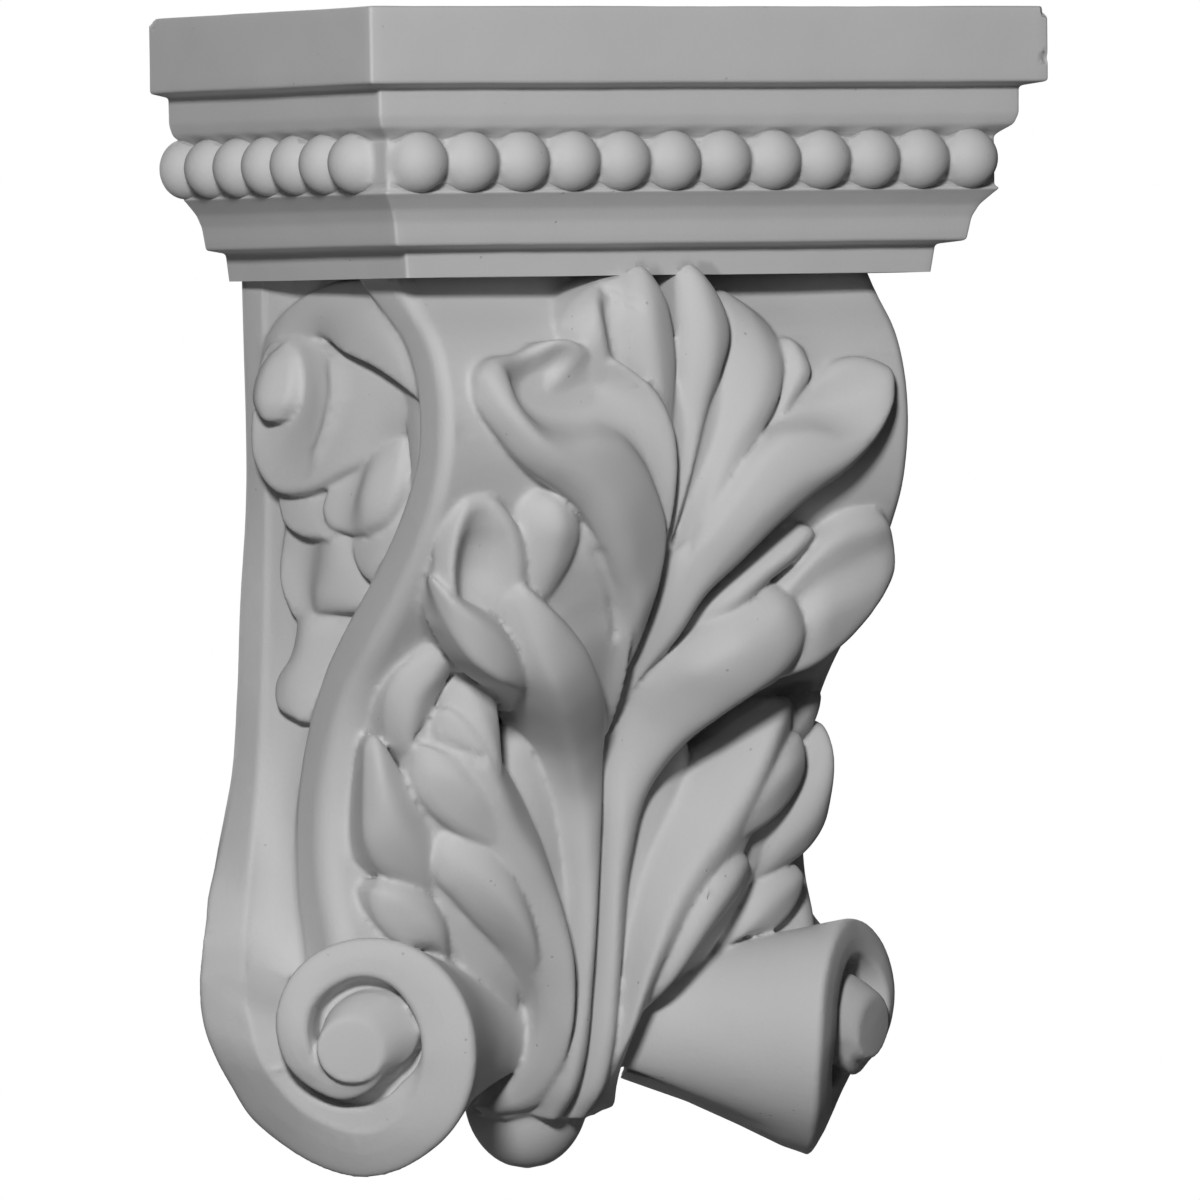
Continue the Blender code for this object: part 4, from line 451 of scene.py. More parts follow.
        [(32, -70, 60), (40, -64.5, 62), (47.5, -60.5, 62), (54.5, -55, 61), (58.6, -49, 60.3),
         (59.6, -45, 60)],
    ]),
    "third_tip_left": dict(sides=LEFT, roll=2.5, thick=TIP_THICK, rails=[
        [(14, -106, 40), (20, -92, 55.5), (26, -80, 60.5), (33, -70, 62), (40, -63.5, 61),
         (46, -60.5, 58.5), (50, -61, 56.5)],
        [(15, -107, 40), (22, -94, 56.5), (29, -83.5, 62), (36, -75.5, 63), (43, -69.5, 61.5),
         (48.5, -65.5, 58.5), (51, -64.3, 56.5)],
        [(16, -110, 34), (21.5, -101, 43), (28, -93, 51), (38, -84.5, 55.5), (45, -78, 56.5),
         (49.5, -73.3, 56.3), (51.3, -68.5, 56)],
    ]),
    "third_tip_right": dict(sides=RIGHT, roll=2.5, thick=TIP_THICK, rails=[
        [(12, -114, 40), (16, -100, 55), (19.5, -90, 60), (24, -80, 62), (29, -72.5, 62), (35, -68.3, 60.5),
         (39.5, -67.8, 58)],
        [(14, -114, 40), (19, -101, 56.5), (24, -90, 62), (29, -81.5, 64), (34.5, -75, 63.5), (39, -71, 61),
         (42, -69.3, 58)],
        [(17, -114, 38), (23.3, -100, 53), (29, -91.5, 57), (35.5, -85, 57.5), (41.5, -78.5, 56.5),
         (43.8, -73.5, 56), (43.4, -70.5, 57)],
    ]),
    "bed": dict(sides=BOTH, roll=2.0, rails=[
        [(16, -112, 38), (22, -97, 46), (28, -82, 50), (34, -66, 53), (40, -51, 55.5), (46, -39, 57.5),
         (50, -28, 58)],
        [(28, -110, 38), (37, -97, 44.5), (45.5, -83, 48.5), (51, -69, 52), (55, -57, 55), (58, -46, 57),
         (58.5, -36, 57.5), (57, -28, 57)],
    ]),
    "ground_first_left": dict(sides=LEFT, roll=2.0, rails=[
        [(50, -44, 50), (55, -38, 55.5), (54.6, -33, 57.5), (52.3, -24.5, 61), (50.5, -16, 66.5),
         (52, -9.5, 69.5)],
        [(54, -44, 51), (59.5, -38.2, 57), (60.8, -32, 60.5), (60, -25.2, 63.5), (57, -19, 67),
         (54, -11.5, 70.5), (53.4, -8.3, 70)],
        [(57, -43.5, 49), (63.5, -36.5, 54), (66.2, -30, 56.5), (66.6, -24, 59), (65, -19, 61.5),
         (61, -14, 65), (55.5, -8.8, 69)],
    ]),
    "ground_first_right": dict(sides=RIGHT, roll=2.0, rails=[
        [(50, -46, 49), (54, -36, 55), (58.5, -29.5, 57), (63, -26.5, 56.5)],
        [(52, -47, 50), (57, -38, 57), (62, -31, 58.5), (66, -27, 56.8)],
        [(55, -46, 49), (61.2, -40.7, 54), (65.5, -35.5, 55), (67.4, -29.5, 55.5), (67.3, -26.5, 56)],
    ]),
    "ground_second": dict(sides=BOTH, roll=2.5, rails=[
        [(44, -80, 46), (48, -66, 52), (54, -54, 55), (60, -45, 55), (64, -38, 54), (66.5, -34.5, 53)],
        [(49, -79, 47), (56, -69, 54), (63.5, -60, 57.5), (67.5, -50, 58.5), (69, -41, 57),
         (69, -35.5, 54)],
        [(50, -77, 47), (58.5, -73.5, 49.5), (65.5, -69, 51), (69.5, -63, 52.5), (71, -54, 54),
         (71.2, -45, 55), (70.3, -38, 54)],
    ]),
    "ground_third": dict(sides=BOTH, roll=2.0, rails=[
        [(40, -94, 43), (44, -84, 48), (50, -77, 50), (57, -73.5, 49.5), (63.5, -72.5, 48)],
        [(42, -95, 45), (48, -87, 51), (55, -81, 52), (61, -77, 51), (65, -74.5, 48.5)],
        [(42, -94, 44), (49, -91, 47), (57, -89.5, 47.5), (62.5, -84.9, 47.5), (65.8, -79, 47.5),
         (66.3, -75, 47.5)],
    ]),
}
LOBE_STATIONS = 90
LOBE_ACROSS = 40
LOBE_THICK = 60.0
LEAST_THICK = 2.0
CREST = 1.0
FOOT_SINK = 5.0
FOOT_HALF_WIDTH = 66.0
UNDERCUT = 0.12

# Carving in the sunk side panels: rails of (depth, height, rise over the floor) points
PANEL_LOBES = {
    "flap": dict(roll=1.2, crest=1.0, rails=[
        [(4, 60, 0), (12, 70, 1), (24, 78, 2), (46, 83, 4), (66, 80, 6), (80, 64, 7), (88, 48, 6)],
        [(12, 56, 0), (24, 66, 2), (35, 68.5, 4), (52, 64, 9), (66, 60, 10), (78, 54, 9.5), (88, 46, 7)],
    ]),
    "side_ribbon": dict(roll=1.0, crest=0.5, rails=[
        [(66, 62, 3), (69, 53, 4), (71, 42, 4.5), (71, 33, 4), (69, 24, 3)],
        [(80, 62, 6), (84, 52, 7), (85, 42, 7), (83, 33, 6), (80, 24, 4)],
    ]),
    "shell": dict(roll=2.5, crest=0.0, rails=[
        [(74, 56, 3), (66, 58, 3.5), (54, 62, 4), (40, 66, 4.5), (26, 69, 4), (14, 66, 4), (9, 57, 4)],
        [(73, 49, 5), (64, 48, 6), (52, 47.5, 8), (43, 48, 8.5), (35, 50, 6.5), (26, 51, 4), (17, 52, 3),
         (11, 53, 3.5)],
        [(72, 42, 2), (62, 38, 4), (49, 33, 8), (36, 28, 9.5), (24, 28, 9.5), (13, 37, 8), (8.8, 49, 5.5)],
    ]),
    "shell_eye": dict(roll=1.5, crest=0.0, rails=[
        [(22, 67, 3.5), (17.5, 63.5, 5.5), (15.3, 57.5, 7.5), (15.6, 51.5, 8.5), (19, 47.2, 8.5)],
        [(23, 67.5, 4), (22.8, 62.5, 8.5), (22.5, 57, 11), (22.6, 51.5, 12), (22.8, 46.6, 10.5)],
        [(25, 67, 3.5), (29.2, 63, 6.5), (31.2, 57, 8.5), (30.4, 51.3, 9.5), (26.6, 47, 9)],
    ]),
    "petal_upper": dict(roll=2.0, crest=0.0, rails=[
        [(45, 37, 4), (41, 30, 6), (39.5, 24, 7.5), (42, 19.5, 8), (50, 17, 7.5)],
        [(54, 39, 4), (52, 31, 5), (51, 25, 6.5), (51, 20, 7.5), (53, 17, 7.5)],
        [(62, 40, 5), (61, 33, 8), (59.5, 26, 9.5), (58, 20.5, 9), (55, 17, 7.5)],
        [(69, 42, 4), (70, 35, 5.5), (68.5, 27, 7), (64, 20.5, 7.5), (57, 17, 7)],
    ]),
    "layer_left": dict(roll=1.5, crest=1.0, rails=[
        [(16, 32, 2), (18.5, 25, 4), (23, 20, 6), (31, 16.5, 7), (40, 15.5, 6)],
        [(40, 34, 2), (44, 28, 3), (46, 22, 5), (45, 18, 6), (42, 15.5, 6)],
    ]),
    "petal_lower": dict(roll=1.5, crest=1.0, rails=[
        [(46, 22, 2), (47.5, 14, 5), (51, 9, 7), (55, 5.5, 7.5), (59, 3.5, 7)],
        [(76, 26, 2), (73, 17, 5), (69, 11, 7), (65, 6.5, 7.5), (61, 3.5, 7)],
    ]),
    "husk_upper": dict(roll=2.0, crest=0.0, rails=[
        [(19, 24, 1), (16.8, 14, 2), (16.8, 7, 3), (20, 0, 4), (23, -5, 4)],
        [(31, 24, 2), (29, 14, 2), (28, 7, 2.5), (29, 1, 3.5), (31, -4, 4.5)],
        [(42, 22, 3), (40, 13, 6), (38, 6, 6.5), (36, 1, 6.5), (35, -3.5, 5.5)],
        [(53, 20, 1), (56, 9, 2.5), (55, 3, 4), (52, -1.5, 5), (46, -3.5, 5)],
    ]),
    "husk_lower": dict(roll=2.0, crest=0.0, rails=[
        [(19, 2, 1), (22.5, -7, 2.5), (21, -14, 3), (17, -21, 4), (18, -28, 5), (25, -32, 5)],
        [(27, 2, 2), (28.5, -8, 5.5), (26.5, -15, 6), (23.5, -22, 6.5), (23.5, -28, 6), (26, -32, 5)],
        [(46, 0, 0.5), (43, -8, 1), (39, -16, 1), (36, -23, 1.5), (33.5, -29, 3), (28, -32, 4.5)],
    ]),
}
PANEL_STATIONS = 60
PANEL_ACROSS = 30
PANEL_SINK = 3.5

# Fine lines worked into the cast face: width, depth cut (raised where negative), and (x, height, depth)
STROKES = [
    (1.8, 1.2, [(-24.3, 11.6, 92), (-17, 1.9, 88), (-13.6, -4, 85), (-11.4, -9.8, 82)]),
    (1.8, 0.9, [(-21, 79.5, 94), (-17.5, 77, 96), (-14, 75.5, 97)]),
    (1.8, 1.2, [(-57.7, -35.4, 62), (-51.7, -38.4, 64), (-44, -41.5, 66)]),
    (1.3, -1.0, [(26.6, -79.5, 62.5), (26.7, -79.6, 62.5)]),
    (1.0, 0.8, [(-66.8, 43.5, 94), (-66.9, 43.4, 94)]),
    (0.9, 0.7, [(-61.5, 35.5, 96), (-61.6, 35.4, 96)]),
]
PANEL_STROKES = [  # the same for the side panels, with (depth, height, rise over the floor) points
    (2.5, -1.0, [(43, 62, 6), (46.5, 54, 7), (45.5, 45, 8), (41, 37, 8)]),
    (1.2, 0.8, [(52, 53, 7), (52.1, 52.9, 7)]),
    (1.0, 0.7, [(58, 55, 7), (58.1, 54.9, 7)]),
]
STROKE_REACH = 9.0
FRONT_FACING = 0.15
SIDE_FACING = 0.3

# How finely the casting is made, how far fused shapes are softened, and the block that cuts its back
VOXEL = 0.7
TRIANGLES = 150000
MERGE_DISTANCE = 0.01
SOFTENING = 5
SOFTENING_FACTOR = 0.5
SHARP_ANGLE = math.radians(50.0)
WALL_BLOCK = (400.0, 40.0, 600.0)

# Unevenness of the cast surface: waves per radian as (x, y, z) and offset, and their heights and lengths
WAVES = [
    ((1.0, 0.3, 0.2), 0.4), ((-0.4, 0.9, 0.5), 2.1), ((0.3, -0.5, 1.1), 4.0), ((0.8, 0.7, -0.6), 5.3),
    ((-0.7, 0.2, 0.9), 1.2),
]
UNEVEN_LONG = 0.16
LONG_WAVE = 9.0
UNEVEN_SHORT = 0.05
SHORT_WAVE = 2.4

# Edges and creases: the name they are stored by, the radius of an edge that is fully marked, and its
# softening. Edges are lightened as worn primer and painted highlight, creases darkened with painted shade
EDGE_NAME = "edge"
EDGE_RADIUS = 3.2
EDGE_SPREAD = 5
EDGE_BLEND = 0.5

# Primer finish: colours, roughness and the depth of its grain in metres
PRIMER = (0.56, 0.56, 0.56)
# Pale colour of the edges, partly worn primer and partly a painted highlight on every outward edge; the
# mottling also leans towards it
WORN_AND_HIGHLIGHT = (0.70, 0.70, 0.695)
# Painted shade: the dark colour laid into creases, where shade falls; pinholes are darkened with it too
CREASE_SHADE = (0.36, 0.36, 0.357)
ROUGHNESS = 0.6
SHEEN_LEVEL = 0.35
GRAIN = 0.00012
GRAIN_STRENGTH = 0.6

# Primer patterns: lumps to the metre and detail of each noise, and cells to the metre of the pinholes
MOTTLE = (38.0, 3.0)
SPECKLE = (950.0, 2.0)
PATCHES = (120.0, 2.0)
PINHOLE_CELLS = 210.0

# Where each coat starts and is full: turn of the surface, height in the patches or distance from a cell
# Pale edges, worn and painted highlight, start and are full at these outward turns, where the patches let
# them show
WORN_HIGHLIGHT_TURN = (0.25, 1.0)
WORN_HIGHLIGHT_PATCHES = (0.3, 0.6)
# Painted shade in the creases starts and is full at these inward turns of the surface
CREASE_SHADE_TURN = (0.15, 0.9)
PINHOLE_SIZE = (0.05, 0.1)
PINHOLE_PATCHES = (0.58, 0.66)

# Shares of each pattern in the primer's colour, in its roughness and in its grain
MOTTLE_SHARE = 0.35
SPECKLE_SHARE = 0.15
# Share of the pale edges, worn and painted highlight, in the primer's colour
WORN_HIGHLIGHT_SHARE = 0.5
# Share of the painted crease shade in the primer's colour
CREASE_SHADE_SHARE = 0.6
PINHOLE_SHARE = 0.6
MOTTLE_ROUGHNESS = 0.12
WORN_ROUGHNESS = 0.1
CREASE_ROUGHNESS = 0.1
SPECKLE_GRAIN = 0.5
PATCHES_GRAIN = 0.5
PINHOLE_GRAIN = 1.5

# Stage: the view's direction and lens, where the cap's near corner stands in it, the lights and the floor
VIEW_AZIMUTH = math.radians(-30.8)
VIEW_PITCH = math.radians(1.133)
VIEW_ROLL = math.radians(0.84)
VIEW_LENS = 402.0
CORNER_AHEAD = 3393.0
CORNER_LEFT = 58.2
CORNER_UP = 150.4
LIGHTS = [  # name, azimuth and elevation in degrees, radius in metres
    ("key", -36.0, 18.0, 0.15), ("fill", -55.0, -18.0, 0.4), ("back", 160.0, 30.0, 0.3),
]
LIGHT_DISTANCE = 2.4
BEAM_ANGLE = math.radians(75.0)
BEAM_BLEND = 0.6
KEY_POWER = 158.0
FILL_POWER = 30.0
BACK_POWER = 60.0
AMBIENT = 0.03
BACKDROP = (1.0, 1.0, 1.0)
VIEW_REACH = 20.0
FLOOR_RADIUS = 1600.0
FLOOR_HEIGHT = -450.0
FLOOR_SEGMENTS = 96
FLOOR_COLOUR = (0.85, 0.85, 0.85)
FLOOR_ROUGHNESS = 0.9


def blend(pairs, at):
    """Values at `at` of a smooth curve through (position, value) pairs."""
    return values_at(pairs, at)[:, 0]


def values_at(table, at):
    """All the columns of a table but the first, read at positions in its first column."""
    rows = np.array(sorted(table), float)
    return curve_values(rows[:, 0], rows[:, 1:], np.atleast_1d(np.asarray(at, float)))


def curve_values(knots, values, at):
    """Hermite curve through values at knots, read at `at` and held beyond its ends."""
    at = np.clip(at, knots[0], knots[-1])
    slopes = np.gradient(values, knots, axis=0)
    i = np.clip(np.searchsorted(knots, at, side="right") - 1, 0, len(knots) - 2)
    step = (knots[i + 1] - knots[i])[:, None]
    f = (at - knots[i])[:, None] / step
    start = (2 * f**3 - 3 * f**2 + 1) * values[i] + (f**3 - 2 * f**2 + f) * step * slopes[i]
    return start + (3 * f**2 - 2 * f**3) * values[i + 1] + (f**3 - f**2) * step * slopes[i + 1]


def curve_through(points, at):
    """Points at shares `at` of the length of a smooth curve through the given points."""
    points = np.array(points, float)
    lengths = np.linalg.norm(np.diff(points, axis=0), axis=1)
    knots = np.concatenate([[0.0], np.cumsum(lengths)])
    return curve_values(knots, points, np.asarray(at) * knots[-1])


def new_object(name, builder):
    """A mesh object in metres from bmesh work done in millimetres."""
    bm = bmesh.new()
    builder(bm)
    bmesh.ops.remove_doubles(bm, verts=bm.verts, dist=MERGE_DISTANCE)
    bmesh.ops.scale(bm, verts=bm.verts, vec=(MM, MM, MM))
    bmesh.ops.recalc_face_normals(bm, faces=bm.faces)
    mesh = bpy.data.meshes.new(name)
    bm.to_mesh(mesh)
    bm.free()
    obj = bpy.data.objects.new(name, mesh)
    bpy.context.scene.collection.objects.link(obj)
    return obj


def skin(bm, rings):
    """Quads between rings of (x, depth, height) points, with flat ends."""
    rows = [[bm.verts.new((x, -depth, height)) for x, depth, height in ring] for ring in rings]
    for low, high in zip(rows, rows[1:]):
        for k in range(len(low)):
            after = (k + 1) % len(low)
            bm.faces.new((low[k], low[after], high[after], high[k]))
    bm.faces.new(rows[0][::-1])
    bm.faces.new(rows[-1])


def side_edge(height):
    """Half-width and depth of the side band's inner edge at one height."""
    inner = blend(BAND_DEPTH, height)[0]
    return WALL_HALF_WIDTH - DRAFT * inner, inner


def strip_points(height):
    """The back strip at one height, from behind the wall out to the panel, with both edges softened."""
    lip, lip_depth, strip, strip_depth = values_at(STRIP, height)[0]
    points = [(lip - lip_depth, -BEHIND_WALL), (lip - lip_depth, 0.0)]
    for share, inset in STRIP_SHARES:
        across = lip + (strip - lip) * share - inset
        points.append((across, lip_depth + (strip_depth - lip_depth) * share))
    return points, (strip, strip_depth)


def recess_sink(height, share):
    """How far the side panel's floor is sunk, at a share of the way from the strip to the band."""
    return RECESS_EDGE + blend(RECESS, height)[0] * share**RECESS_CURVE + HOLLOW * np.sin(math.pi * share)


def recess_line(height, strip, band):
    """The recess's floor at one height, sunk square to the line from the back strip to the side band."""
    across = np.array(band) - np.array(strip)
    inward = np.array([-across[1], across[0]]) / np.linalg.norm(across)
    shares = np.array(RECESS_SHARES)
    line = np.array(strip) + across * shares[:, None] + inward * recess_sink(height, shares)[:, None]
    return [tuple(point) for point in line]


def front_points(height, edge, inner):
    """The side band, the rounded corner and half the front at one height."""
    front = blend(FRONT_DEPTH, height)[0]
    points = [(edge - BAND_ARRIS[0], inner + BAND_ARRIS[1]), (edge, inner + BAND_START)]
    turn_in = FRONT_HALF_WIDTH - CORNER_IN
    reach = CORNER_REACH + CORNER_FLARE * max(edge - FRONT_HALF_WIDTH, 0.0)
    for share in BAND_SHARES:
        points.append((edge, inner + BAND_START + (front - reach - inner - BAND_START) * share))
    for turn in CORNER_TURNS:
        points.append((turn_in + (edge - turn_in) * math.cos(turn), front - reach + reach * math.sin(turn)))
    for share in FRONT_SHARES:
        points.append((FRONT_HALF_WIDTH * share, front - FRONT_CROWN * (1.0 - share**2)))
    return points


def half_plan(height):
    """Half outline of the bracket at one height, from the wall round to the middle of the front."""
    edge, inner = side_edge(height)
    points, strip = strip_points(height)
    return points + recess_line(height, strip, (edge, inner)) + front_points(height, edge, inner)


def panel_half_width(height, depth):
    """Half-width of the sunk side panel's floor."""
    _, _, strip, strip_depth = values_at(STRIP, height)[0]
    edge, inner = side_edge(height)
    share = np.clip((depth - strip_depth) / max(inner - strip_depth, 1.0), 0.0, 1.0)
    return strip + (edge - strip) * share - recess_sink(height, share)


def bracket_ring(height):
    """The bracket's whole outline at one height."""
    half = half_plan(height)
    left = [(-x, depth, height) for x, depth in half]
    right = [(x, depth, height) for x, depth in reversed(half)]
    return left + right


def build_bracket(bm):
    """Bracket behind the leaf, from under the cap's fascia down into the volutes."""
    skin(bm, [bracket_ring(height) for height in np.linspace(BRACKET_TOP, BRACKET_FOOT, BRACKET_LEVELS)])


def build_foot(bm):
    """The rounded drop under the bracket, against the wall."""
    turns = np.linspace(0.0, 2 * math.pi, FOOT_AROUND, endpoint=False)
    rings = []
    for share in np.linspace(-1.0, 1.0, FOOT_LEVELS):
        swell = FOOT_RADIUS * math.sqrt(max(1.0 - share**2, FOOT_END))
        level = FOOT_HEIGHT + FOOT_HALF_HEIGHT * share
        rings.append([(swell * math.cos(turn), FOOT_DEPTH + swell * math.sin(turn), level)
                      for turn in turns])
    skin(bm, rings)


def build_root(bm, side):
    """The block between a horn and the wall, whose underside follows the horn."""
    rings = []
    for half_width, depth, low, wall in ROOT:
        x = side * half_width
        rings.append([(x, -BEHIND_WALL, wall), (x, depth / 2, (wall + low) / 2), (x, depth, low),
                      (x, depth, ROOT_TOP), (x, -BEHIND_WALL, ROOT_TOP)])
    skin(bm, rings)


def face_point(side, across, height, rise):
    """A point over the volute's face: across towards the front, and rise out of the face."""
    half_root = math.sqrt(0.5)
    x = EYE[0] - across * half_root + rise * half_root
    depth = EYE[1] + across * half_root + rise * half_root
    return (side * x, depth, height)


def turned_point(side, turn, radius, rise):
    """A point over the volute's face at a turn in degrees and a radius from the eye."""
    angle = math.radians(turn)
    return face_point(side, radius * math.cos(angle), EYE[2] + radius * math.sin(angle), rise)


def horn_ring(side, station, lean, turns):
    """One ring of the horn, leaning towards its volute's face."""
    x, depth, height, radius = station
    along = (-math.cos(math.radians(lean)), math.sin(math.radians(lean)))
    ring = []
    for turn in np.radians(turns):
        across = radius * math.cos(turn)
        ring.append((side * (x + along[0] * across), depth + along[1] * across,
                     height + radius * math.sin(turn)))
    return ring


def horn_end(side, turns, inset, sink):
    """The horn's widest ring, which follows the scroll's outer edge."""
    edge = values_at(RIBBON, np.where(turns < HORN_LAP, turns + 360.0, turns))
    return [turned_point(side, turn, min(row[0], HORN_WIDEST) - inset, row[1] - sink)
            for turn, row in zip(turns, edge)]


def build_horn(bm, side):
    """One flared horn from the middle of the foot to its volute's rim, hollowed behind the groove."""
    turns = np.linspace(0.0, 360.0, HORN_AROUND, endpoint=False)
    rings = [horn_ring(side, station, lean, turns) for station, lean in zip(HORN, HORN_LEAN)]
    rings.append(horn_end(side, turns, *HORN_MOUTH))
    stack = np.array(rings).reshape(len(rings), -1)
    lofted = curve_through(stack, np.linspace(0.0, 1.0, HORN_RINGS)).reshape(-1, len(turns), 3)
    rings = [[tuple(point) for point in ring] for ring in lofted]
    rings += [horn_end(side, turns, inset, sink) for inset, sink in HORN_HOLLOW]
    skin(bm, rings)


def ribbon_section(row):
    """The scroll's rounded section at one turn: outer edge, band, inner line, groove edge and wall."""
    outer, outer_rise, inner, inner_rise, edge, edge_rise = row
    inner = min(inner, outer - LEAST_BAND)
    edge = max(min(edge, inner - LEAST_LIP), LEAST_GROOVE)
    slope = (inner_rise - outer_rise) / (outer - inner)
    back = min(outer_rise, edge_rise) - RIBBON_BACK
    taper = min(RIBBON_TAPER, RIBBON_TAPER_SHARE * (outer - edge))
    return [
        (outer - taper, back), *((outer - inset, outer_rise - fall) for inset, fall in RIM_SIDE),
        (outer - RIM_ARRIS[0], outer_rise - RIM_ARRIS[1] + RIM_ARRIS[0] * slope),
        (outer - RIM_FLAT, outer_rise + RIM_FLAT * slope),
        ((outer + inner) / 2, (outer_rise + inner_rise) / 2 + BAND_CROWN),
        (inner + INNER_ARRIS[0], inner_rise - INNER_ARRIS[1] - INNER_ARRIS[0] * slope),
        (inner - INNER_FALL[0], inner_rise - INNER_FALL[1]),
        ((inner + edge) / 2, (inner_rise + edge_rise) / 2 - LIP_SINK), (edge, edge_rise),
        (edge - GROOVE_ARRIS[0], edge_rise - GROOVE_ARRIS[1]),
        (edge - GROOVE_IN, min(GROOVE_FLOOR, back + GROOVE_ROOM)), (edge - GROOVE_IN, back),
    ]


def build_scroll(bm, side):
    """The ribbon that winds from the back strip round to the knob."""
    turns = np.arange(RIBBON_START, RIBBON_END, RIBBON_STEP)
    rings = []
    for turn, row in zip(turns, values_at(RIBBON, turns)):
        sink = RIBBON_SINK * max(1.0 - (turn - RIBBON_START) / RIBBON_MERGE, 0.0)
        rings.append([turned_point(side, turn, radius - RIBBON_SINK_IN * sink, rise - sink)
                      for radius, rise in ribbon_section(row)])
    skin(bm, rings)


def knob_tilt(turn, radius):
    """How far the knob's tilted face stands out or back at a turn in degrees and a radius."""
    angle = math.radians(turn)
    lean = KNOB_LEAN * math.sin(angle) + KNOB_TURN * math.cos(angle)
    return lean * min(radius, KNOB_DISC + KNOB_LEAN_REACH)


def build_knob(bm, side):
    """The knob in the eye of the volute, tilted with the ribbon that winds into it."""
    turns = np.arange(*KNOB_TURNS)
    foot = blend(KNOB_FOOT, turns)
    rings = []
    for rise, share in KNOB:
        tilted = rise > KNOB_LEAN_FROM
        radius = foot + (KNOB_DISC - foot) * share
        rings.append([turned_point(side, turn, r, rise + (knob_tilt(turn, r) if tilted else 0.0))
                      for turn, r in zip(turns, radius)])
    skin(bm, rings)


def build_back_fill(bm, side):
    """The side of the volute towards the wall, carried straight back from the scroll's edge."""
    turns = np.linspace(RIBBON_START, BACK_FILL_END, BACK_FILL_AROUND)
    edge = values_at(RIBBON, turns)[:, :2]
    rings = []
    for back, width, height in BACK_FILL:
        ring = []
        for turn, (radius, rise) in zip(np.radians(turns), edge):
            ring.append(face_point(side, radius * math.cos(turn) * width,
                                   EYE[2] + radius * math.sin(turn) * height, rise - back))
        rings.append(ring)
    skin(bm, rings)


def along_value(value, at):
    """A number held all along a lobe, or a curve of (position, value) pairs."""
    return blend(value, at) if isinstance(value, list) else np.full(len(at), float(value))


def on_front(side, points, under, thick):
    """Leaf points on the bracket's front, and their underside."""
    ground = blend(FRONT_DEPTH, under[..., 1].ravel()).reshape(under.shape[:-1]) - FOOT_SINK
    low = np.maximum(ground, under[..., 2] - thick[:, None])
    low = np.minimum(low, points[..., 2] - LEAST_THICK)
    half_width = np.clip(under[..., 0], -FOOT_HALF_WIDTH, FOOT_HALF_WIDTH)
    top = np.stack([side * points[..., 0], points[..., 2], points[..., 1]], axis=-1)
    foot = np.stack([side * half_width, low, under[..., 1]], axis=-1)
    return top, foot


def on_panel(side, points, under, thick):
    """Points of carving in the side panel, and their feet sunk into its floor."""
    flat = points.reshape(-1, 3)
    floor = np.array([panel_half_width(height, depth) for depth, height, _ in flat])
    floor = floor.reshape(points.shape[:-1])
    top = np.stack([side * (floor + points[..., 2]), points[..., 0], points[..., 1]], axis=-1)
    foot = np.stack([side * (floor - PANEL_SINK), points[..., 0], points[..., 1]], axis=-1)
    return top, foot


def rim_distance(points, rim):
    """How far each point of a grid is from its rim, measured over the surface's plan."""
    flat = points[..., :2].reshape(-1, 1, 2)
    return np.sqrt(((flat - rim[None, :, :2])**2).sum(axis=2)).min(axis=1).reshape(points.shape[:-1])


def lobe_face(lobe, at, across):
    """A grid of points over a lobe's face, from its root to its tip and from rail to rail."""
    rails = [curve_through(rail, at) for rail in lobe["rails"]]
    if len(rails) == 2:
        rails.insert(1, (rails[0] + rails[1]) / 2 + np.array([0.0, 0.0, lobe.get("crest", CREST)]))
    rails = np.array(rails)
    gaps = np.linalg.norm(np.diff(rails, axis=0), axis=2).mean(axis=1)
    knots = np.concatenate([[0.0], np.cumsum(gaps)])
    spread = (0.5 - 0.5 * np.cos(np.linspace(0.0, math.pi, across))) * knots[-1]
    grid = curve_values(knots, rails.reshape(len(rails), -1), spread).reshape(across, len(at), 3)
    return grid.transpose(1, 0, 2)


def rolled_rim(grid, roll):
    """A lobe's face with its sides and tip rounded over."""
    rim = np.concatenate([grid[:, 0], grid[-1], grid[:, -1]])
    near = np.clip(rim_distance(grid, rim) / roll, 0.0, 1.0)
    rolled = grid.copy()
    rolled[..., 2] -= roll * (1.0 - np.sqrt(1.0 - (1.0 - near)**2))
    return rolled


def build_lobe(bm, side, lobe, place, stations=LOBE_STATIONS, across=LOBE_ACROSS):
    """One closed lobe: a top skinned over its rails, a rounded rim and walls down to its underside."""
    at = np.sin(np.linspace(0.0, math.pi / 2, stations))
    rolled = rolled_rim(lobe_face(lobe, at, across), lobe["roll"])
    middle = rolled.mean(axis=1, keepdims=True)
    under = rolled + (middle - rolled) * UNDERCUT
    thick = along_value(lobe.get("thick", LOBE_THICK), at)
    top, foot = place(side, rolled, under, thick)
    add_shell(bm, top, foot)


def add_shell(bm, top, foot):
    """A closed body from two grids of the same size, joined along their rims."""
    stations, across = top.shape[:2]
    grids = [[[bm.verts.new((x, -d, z)) for x, d, z in row] for row in grid] for grid in (top, foot)]
    for grid in grids:
        for i in range(stations - 1):
            for j in range(across - 1):
                bm.faces.new((grid[i][j], grid[i][j + 1], grid[i + 1][j + 1], grid[i + 1][j]))
    rim = [(i, 0) for i in range(stations)]
    rim += [(stations - 1, j) for j in range(1, across)]
    rim += [(i, across - 1) for i in range(stations - 2, -1, -1)]
    rim += [(0, j) for j in range(across - 2, 0, -1)]
    for (i, j), (k, m) in zip(rim, rim[1:] + rim[:1]):
        bm.faces.new((grids[0][i][j], grids[0][k][m], grids[1][k][m], grids[1][i][j]))


